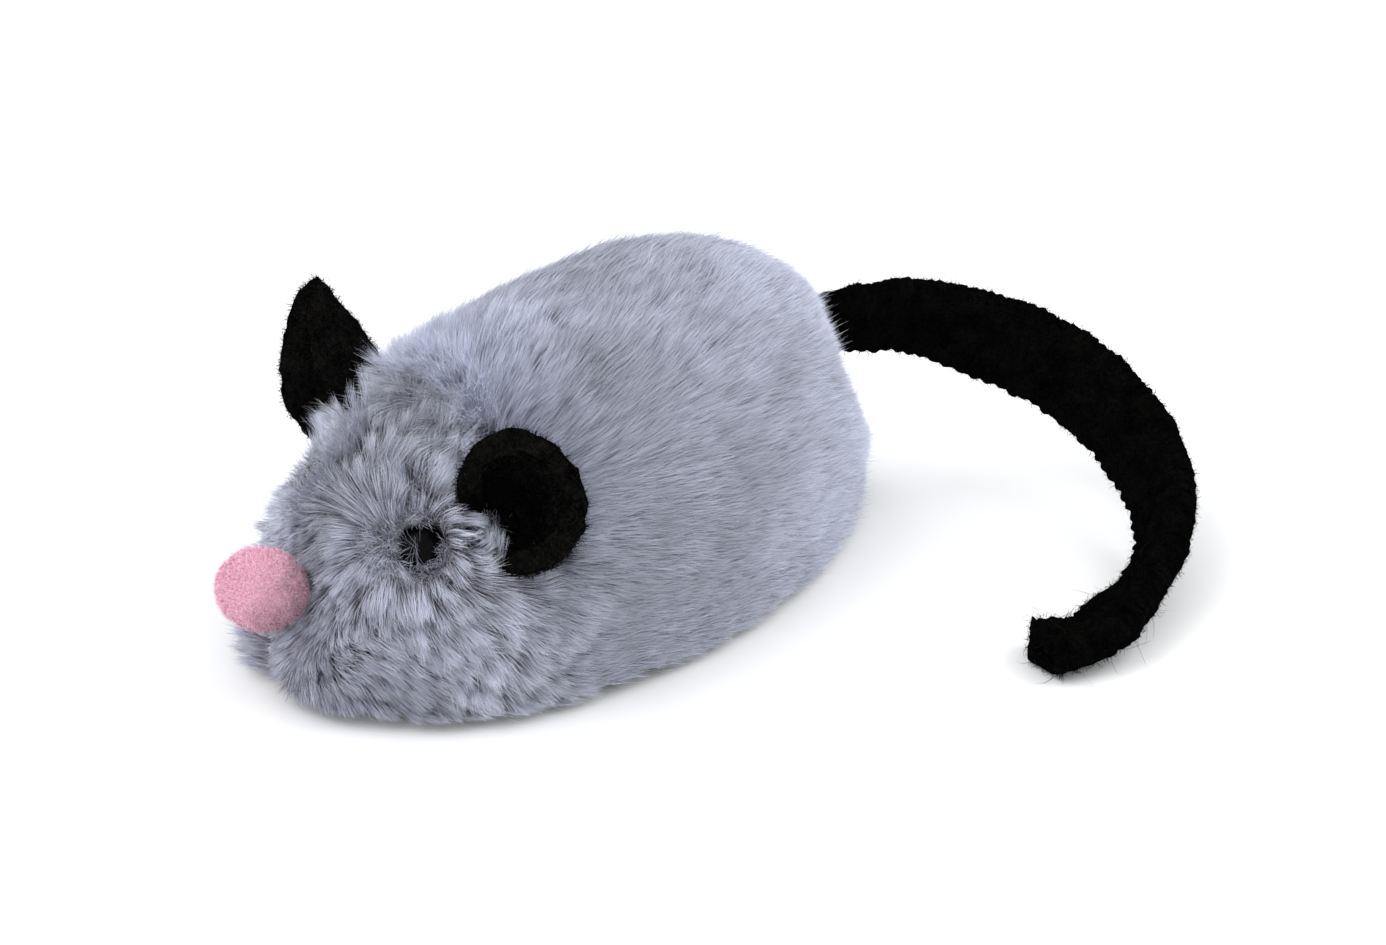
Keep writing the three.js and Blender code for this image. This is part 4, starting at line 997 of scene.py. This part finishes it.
def strandLifts(root, chance):
    # How steeply each strand leaves the skin and how steeply it ends. Fur stands up in a ridge just behind
    # the seam, and lies down slowly behind it
    pastSeam = root.behindSeam - 0.012
    root.atSeam = bell(pastSeam, np.where(pastSeam > 0, 0.075, 0.02)) * root.onTop
    atParting = bell(root.behindSeam, 0.014) * root.onTop
    atEar = bell(root.earGap, 6) * root.onHead * np.where(root.onLeft, 0.2, 1)
    perClump = lifts["tipClump"] + lifts["tipClumpHead"] * root.onHead + lifts["tipClumpCalm"] * root.calm
    start = np.radians(
        lifts["root"] + lifts["rootRump"] * root.behind + lifts["rootHead"] * root.onHead
        + lifts["rootEye"] * root.atEye + lifts["rootParting"] * atParting)
    end = np.radians(
        lifts["tip"] + lifts["tipHead"] * root.onHead + lifts["tipRidge"] * root.atSeam
        + lifts["tipParting"] * atParting + lifts["tipRump"] * root.behind + lifts["tipEar"] * atEar
        + lifts["tipEye"] * root.atEye + lifts["tipWhorl"] * bell(root.whorlGap, 2.4)
        + lifts["tipChin"] * root.snout * (1 - root.overNose)
        + perClump * (1 - 0.65 * root.muzzle) * chanceOf(root.clumpCube, 8)
        + lifts["tipTuftHead"] * root.onHead * (1 - 0.8 * root.muzzle) * chanceOf(root.tuftCube, 9)
        + lifts["tipSpread"] * chance.standard_normal(root.count))
    return start, end


def layStrands(root, make, chance):
    # Four points for each strand, bent along the nap, over the curve of the body and toward its clump
    length = strandLengths(root, make, chance)
    start, end = strandLifts(root, chance)
    # A few stray hairs stand out of the nap
    stray = chance.random(root.count) < make["strays"]
    end = end + np.radians(make["strayLift"]) * stray * chance.random(root.count)
    length = length * (1 + make["strayLength"] * stray)
    lines = np.empty((root.count, 4, 3))
    lines[:, 0] = root.place
    flat, risen = np.zeros(root.count), np.zeros(root.count)
    radius = 20 - 6 * root.onHead  # of the curve that the strands sag over
    toClump, toTuft = (levelWith(centre - root.place, root.out) for centre in (root.clump, root.tuft))
    toClump = toClump * ((0.9 + 0.35 * root.onHead - 0.4 * root.calm) * (1 - 0.65 * root.muzzle))[:, None]
    toTuft = toTuft * (0.35 * root.onHead * (1 - 0.8 * root.muzzle))[:, None]
    for step in (1, 2, 3):
        share = (step - 0.5) / 3
        lift = start * (1 - share) ** 1.6 + end * (1 - (1 - share) ** 1.6)
        flat = flat + np.cos(lift) * length / 3
        risen = risen + np.sin(lift) * length / 3
        sag = flat ** 2 / (2 * radius)
        lines[:, step] = (root.place + root.lie * flat[:, None] + root.out * (risen - sag)[:, None]
                          + (toClump + toTuft) * make["pull"][step])
    lines[:, :, 2] = np.maximum(lines[:, :, 2], 0.6 + 0.9 * root.onHead[:, None])
    return lines


def besideEyes(root, lines, chance):
    # Most of the fur that would hide an eye is brushed aside
    over = np.zeros(root.count, dtype=bool)
    for side in (1, -1):
        seat, basis = standOn(seats["eye"], side)
        ways = lines[:, 1:] - seat
        beside = lengths(ways - (ways @ basis[:, 2])[..., None] * basis[:, 2]).min(-1)
        over |= (beside < bare["overEye"]) & (lengths(root.place - seat) < bare["eyeReach"])
    return ~(over & (chance.random(root.count) > bare["overEyeShare"]))


def strandSides(root, lines, make, chance):
    # The way that each ribbon is wide, rolled a little about its course
    course = unit(lines[:, 3] - lines[:, 0])
    roll = (np.radians(make["roll"]) * chance.standard_normal(root.count))[:, None]
    level = unit(np.cross(course, root.out))
    return level * np.cos(roll) + np.cross(level, course) * np.sin(roll)


def strandColours(root, make, chance):
    # Colours from the root to the tip, with a tone for each clump
    headShades = shadesOf(make, ("rootColour", "rootColour", "midColour", "tipColour"))
    bodyShades = shadesOf(make, ("bodyRoot", "bodyRoot", "bodyMid", "bodyTip"))
    onHead = root.onHead[:, None, None]
    shades = headShades * onHead + bodyShades * (1 - onHead)
    # On the muzzle the roots take the middle colour, so less shade is painted between its tufts, and the
    # ridge behind the seam shows little of its darker roots
    lessRootShade = (tones["lessRootShade"] * root.muzzle)[:, None, None]
    parted = (tones["parted"] * root.atSeam)[:, None, None]
    shades = shades * (1 - lessRootShade) + shades[:, 2:3] * lessRootShade
    shades = shades * (1 - parted) + (shades[:, 2:3] + shades[:, 3:]) / 2 * parted
    contrast = tones["clump"] + tones["clumpHead"] * root.onHead + tones["clumpCalm"] * root.calm
    tone = 1 + contrast * (1 - 0.6 * root.muzzle) * chanceOf(root.clumpCube, 10)
    for share, size, salt in ((0.15, 9, 12), (0.07, 3.5, 13), (0.1 * (1 - root.onHead), 5, 17)):
        tone = tone + share * smoothNoise(root.place, size, salt)
    # Painted shade darkens the flanks and the fur over the tail, and painted light brightens the ridge behind
    # the seam and the rump.
    # The cheeks are lighter than the forehead and the fur beside the hem
    onCheek = blendStep(root.low, 0.15, 0.42)
    zones = {
        "ridge": root.atSeam, "flank": blendStep(root.low, 0.45, 0.9) * (1 - root.onHead),
        "overTail": bell(lengths(root.place - np.array(bare["aboveTail"])), 14),
        "rump": blendStep(root.share, 0.45, 0.9), "head": root.onHead, "cheek": root.onHead * onCheek,
        "belowCheek": root.onHead * blendStep(root.low, 0.72, 0.95),
        "forehead": root.onHead * blendStep(root.share, 0.14, 0.22) * (1 - onCheek),
    }
    for key, zone in zones.items():
        tone = tone + tones[key] * zone
    # Painted shade: dark streaks in the tone on top behind the ears stand for the shade in the slits of the
    # nap
    streaks = smoothNoise(root.place * np.array([1, 0.3, 1]), 1.7, 15)
    tone = tone + root.streaked * (0.1 * streaks - 0.45 * np.maximum(streaks - 0.2, 0))
    return shades * (tone + tones["strand"] * chance.standard_normal(root.count))[:, None, None]


# Extra fur about the eyes, the whorls, the slits of the ears and the ridge of the seam. Angles are from
# the way up, turning forward. The near and far values say how far the roots are from the seat, and the
# lean how much further away the tips are

ridgeColours = ("bodyMid", "bodyMid", "bodyMid", "bodyTip")
fringes = [
    {"seat": "eye", "count": 230, "from": -65, "to": 75, "near": 2.7, "far": 4.2, "lean": (-2.2, -0.9),
     "nearest": 1.45, "spread": 30, "top": -0.35, "tone": 0.85},
    {"seat": "eye", "count": 110, "from": 120, "to": 250, "near": 2.6, "far": 3.8, "lean": (-1.4, -0.4),
     "nearest": 1.9, "spread": 45, "top": -0.45, "tone": 0.85},
    {"seat": "eye", "count": 30, "from": -40, "to": 170, "near": 2.8, "far": 3.8, "lean": (-5.4, -2),
     "nearest": -2.4, "spread": 16, "top": -0.35, "tone": 0.6},
    {"seat": "eye", "count": 1000, "near": 2.4, "far": 5, "lean": (-0.5, 2), "nearest": 2.3, "spread": 60,
     "top": -0.35, "tone": 0.9},
    {"seat": "whorl", "count": 1300, "far": 4, "lean": (-1.2, 2.6), "nearest": -2, "spread": 70,
     "top": -0.3, "tone": 1},
    {"seat": "ear", "count": 900, "from": 25, "to": 155, "near": 0.4, "far": 4.8, "lean": (-0.5, 0.5),
     "nearest": 0.3, "spread": 30, "top": -1.1, "tone": 0.85},
    # These fringes stand up, and their tone over 1 paints light on their shaded sides
    {"seat": "crown", "count": 700, "far": 2, "top": 2.5, "tone": 1.4, "colours": ridgeColours},
    {"seat": "nape", "count": 800, "far": 2.3, "top": 2.8, "tone": 1.4, "colours": ridgeColours},
    {"seat": "ridge", "count": 500, "far": 2, "top": 2.6, "tone": 1.3, "colours": ridgeColours},
    {"seat": "brow", "count": 420, "far": 2.8, "lean": (-1, 2), "nearest": -2, "spread": 50,
     "top": 1.3, "tone": 0.95},
]
# What they share, unless they say otherwise
fringe = {
    "from": -180, "to": 180, "near": 0, "lean": (-0.6, 1.8), "nearest": -3, "spread": 45,
    "width": 0.05, "taper": (0.9, 1, 0.7), "topSpread": 0.5, "toneSpread": 0.15, "wander": 0.1, "tilt": 0.3,
    "colours": ("rootColour", "midColour", "midColour", "tipColour"),
    # Shares of the reach and of the rise at the points of a strand
    "shape": ((0, 0), (0.14, 0.45), (0.5, 0.86), (1, 1)),
}


def growFringe(make, side, chance):
    seat, basis = standOn(seats[make["seat"]], side)
    upward, forward, out = side * basis[:, 0], basis[:, 1], basis[:, 2]
    count = make["count"]
    angle = np.radians(make["from"] + (make["to"] - make["from"]) * chance.random(count))[:, None]
    spoke = np.cos(angle) * upward + np.sin(angle) * forward
    rim = np.cos(angle) * forward - np.sin(angle) * upward
    start = np.sqrt(make["near"] ** 2 + (make["far"] ** 2 - make["near"] ** 2) * chance.random(count))
    low, high = make["lean"]
    tip = np.maximum(start + low + (high - low) * chance.random(count), make["nearest"])
    slant = np.tan((np.radians(make["spread"]) * chance.standard_normal(count)).clip(-1.1, 1.1))
    top = make["top"] + make["topSpread"] * chance.standard_normal(count).clip(-1.4, 1.2)
    lines = np.empty((count, 4, 3))
    for step, (share, rise) in enumerate(make["shape"]):
        reach = start + (tip - start) * share
        aside = slant * 0.9 * share + make["wander"] * step * chance.standard_normal(count)
        height = -skin["inset"] + (skin["inset"] + top) * rise
        lines[:, step] = seat + spoke * reach[:, None] + rim * aside[:, None] + out * height[:, None]
    tone = make["tone"] * (1 + make["toneSpread"] * chance.standard_normal(count))
    course = unit(lines[:, 3] - lines[:, 0])
    sideways = unit(np.cross(course, out + make["tilt"] * chance.standard_normal((count, 3))))
    widths = np.full((count, 1), make["width"]) * np.array(make["taper"])
    return lines, sideways, widths, shadesOf(pile, make["colours"]) * tone[:, None, None]


def clearOf(lines, pieces):
    # Which strands pass through none of these pieces
    clear = np.ones(len(lines), dtype=bool)
    ready = bpy.context.evaluated_depsgraph_get()
    points = (lines + middle) * mm
    margin = 0.3 * mm
    for piece in pieces:
        tree = BVHTree.FromObject(piece, ready)
        corners = np.array([corner[:] for corner in piece.bound_box])
        near = ((points > corners.min(0) - margin) & (points < corners.max(0) + margin)).all(-1).any(-1)
        for index in np.flatnonzero(near & clear):
            strand = points[index]
            for start, end in zip(strand, strand[1:]):
                way = Vector(end - start)
                if tree.ray_cast(Vector(start), way.normalized(), way.length)[0] is not None:
                    clear[index] = False
                    break
    return clear


def growPile(make, neighbours):
    chance = np.random.default_rng(make["seed"])
    root = plantRoots(make, chance)
    combNap(root)
    gatherClumps(root, make)
    findZones(root)
    swingNap(root, chance)
    lines = layStrands(root, make, chance)
    clear = besideEyes(root, lines, chance)
    sideways = strandSides(root, lines, make, chance)
    thick = make["width"] * (0.75 + 0.5 * chance.random(root.count))
    widths = thick[:, None] * np.array(make["taper"])
    grown = [(lines, sideways, widths, strandColours(root, make, chance))]
    grown += [growFringe({**fringe, **extra}, side, chance) for side in (1, -1) for extra in fringes]
    lines, sideways, widths, colours = (np.concatenate(values) for values in zip(*grown))
    extras = len(lines) - root.count
    share = np.concatenate([root.share, np.full(extras, seats["eye"]["share"])])
    clear = np.concatenate([clear, np.ones(extras, dtype=bool)]) & clearOf(lines, neighbours)
    pieces = []
    low = -1
    for name, high in bands.items():
        chosen = (share >= low) & (share < high) & clear
        pieces.append(strandMesh(name, lines[chosen], sideways[chosen], widths[chosen], colours[chosen]))
        print(name, int(chosen.sum()), "strands")
        low = high
    return pieces


pilePieces = growPile(pile, [*earFelts.values(), *eyeDomes.values(), tailStrip, noseBall])
plushPile = strandMaterial("plush pile", 0.72, 0.15, 0.25)
for piece in pilePieces:
    giveMaterial(piece, plushPile)
    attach(piece, "body")
print("pile grown")


# Materials of the pieces that are used as the frame holds them

def plasticMaterial(name, dark, light, roughness, grain=0.4):
    graph = Graph(name)
    flow = graph.noise(6 * mm, detail=4)
    fine = graph.noise(grain * mm)
    colour = graph.blendOf(flow, dark, light)
    return graph.finish(colour, roughness + 0.12 * fine, fine * 0.6 + flow * 0.4, 0.04 * mm, 0.5)


def metalMaterial(name, dark, light, roughness):
    graph = Graph(name, Metallic=1.0)
    stretched = graph.add("ShaderNodeMapping", None, {"Vector": graph.place, "Scale": (0.08, 1, 1)})
    drawn = graph.noise(0.3 * mm, roughness=0.5, place=stretched)
    colour = graph.blendOf(drawn, dark, light)
    return graph.finish(colour, roughness + 0.2 * drawn, drawn, 0.02 * mm, 0.5)


finishes = {
    "shell": plasticMaterial("grey shell plastic", paint(92, 94, 98), paint(112, 113, 117), 0.42),
    "plate": plasticMaterial("black base plastic", paint(20, 21, 23), paint(34, 35, 37), 0.38),
    "motor": plasticMaterial("ivory motor plastic", paint(206, 203, 193), paint(228, 226, 217), 0.34),
    "gear": plasticMaterial("white gear plastic", paint(226, 224, 215), paint(243, 241, 233), 0.3, 0.2),
    "wheel": plasticMaterial("black wheel plastic", paint(30, 31, 34), paint(44, 45, 48), 0.3),
    "rubber": plasticMaterial("black tyre rubber", paint(14, 14, 14), paint(27, 26, 26), 0.7, 0.15),
    "steel": metalMaterial("bright steel", paint(160, 162, 166), paint(205, 207, 210), 0.2),
    "spring": metalMaterial("blued spring steel", paint(70, 78, 96), paint(120, 126, 138), 0.25),
}
# The rest, apart from the replaced, are steel
finished = {
    "shell": ["body_shell"], "plate": ["base_plate"], "motor": ["motor_case", "motor_lid"],
    "gear": ["clutch_gear", "spring_wheel", "axle_pinion"], "rubber": ["rear_tyre_left", "rear_tyre_right"],
    "wheel": ["rear_hub_left", "rear_hub_right", "front_wheel_left", "front_wheel_right"],
    "spring": ["mainspring"],
}
finishOf = {name: finish for finish, names in finished.items() for name in names}
replaced = {"plush_cover", "ear_left", "ear_right", "eye_left", "eye_right", "tail", "nose_pompom"}
for name, piece in nodes.items():
    if name not in replaced:
        giveMaterial(piece, finishes[finishOf.get(name, "steel")])
print("finishes given")


# Floor and light, in metres and watts

floor = {"halfWidth": 3, "dark": (249, 249, 249), "light": (251, 251, 251), "patches": 0.3}
light = {
    "sky": 1.0, "skyColour": (0.96, 0.98, 1, 1),
    "softboxes": {
        "front": {"power": 7, "size": 0.9, "place": (-0.35, -0.75, 1.1)},
        "rear": {"power": 6.5, "size": 0.9, "place": (0.45, 0.85, 0.95)},
    },
}


def makeFloor(make):
    form = bmesh.new()
    bmesh.ops.create_grid(form, x_segments=1, y_segments=1, size=make["halfWidth"])
    ground = makeMesh("floor", form, smooth=False)
    graph = Graph("white floor")
    tone = graph.noise(make["patches"], detail=1)
    giveMaterial(ground, graph.finish(graph.blendOf(tone, paint(*make["dark"]), paint(*make["light"])), 0.9))


def makeLights(make):
    world = bpy.data.worlds.new("soft white surround")
    bpy.context.scene.world = world
    world.use_nodes = True
    sky = world.node_tree.nodes["Background"]
    sky.inputs["Color"].default_value = make["skyColour"]
    sky.inputs["Strength"].default_value = make["sky"]
    for name, box in make["softboxes"].items():
        lamp = bpy.data.lights.new(name, "AREA")
        lamp.size = box["size"]
        lamp.energy = box["power"]
        holder = bpy.data.objects.new(name, lamp)
        holder.location = box["place"]
        holder.rotation_euler = (-Vector(box["place"])).to_track_quat("-Z", "Y").to_euler()
        bpy.context.collection.objects.link(holder)


makeFloor(floor)
makeLights(light)
bpy.context.scene.view_settings.view_transform = "Standard"
print("floor and light set")
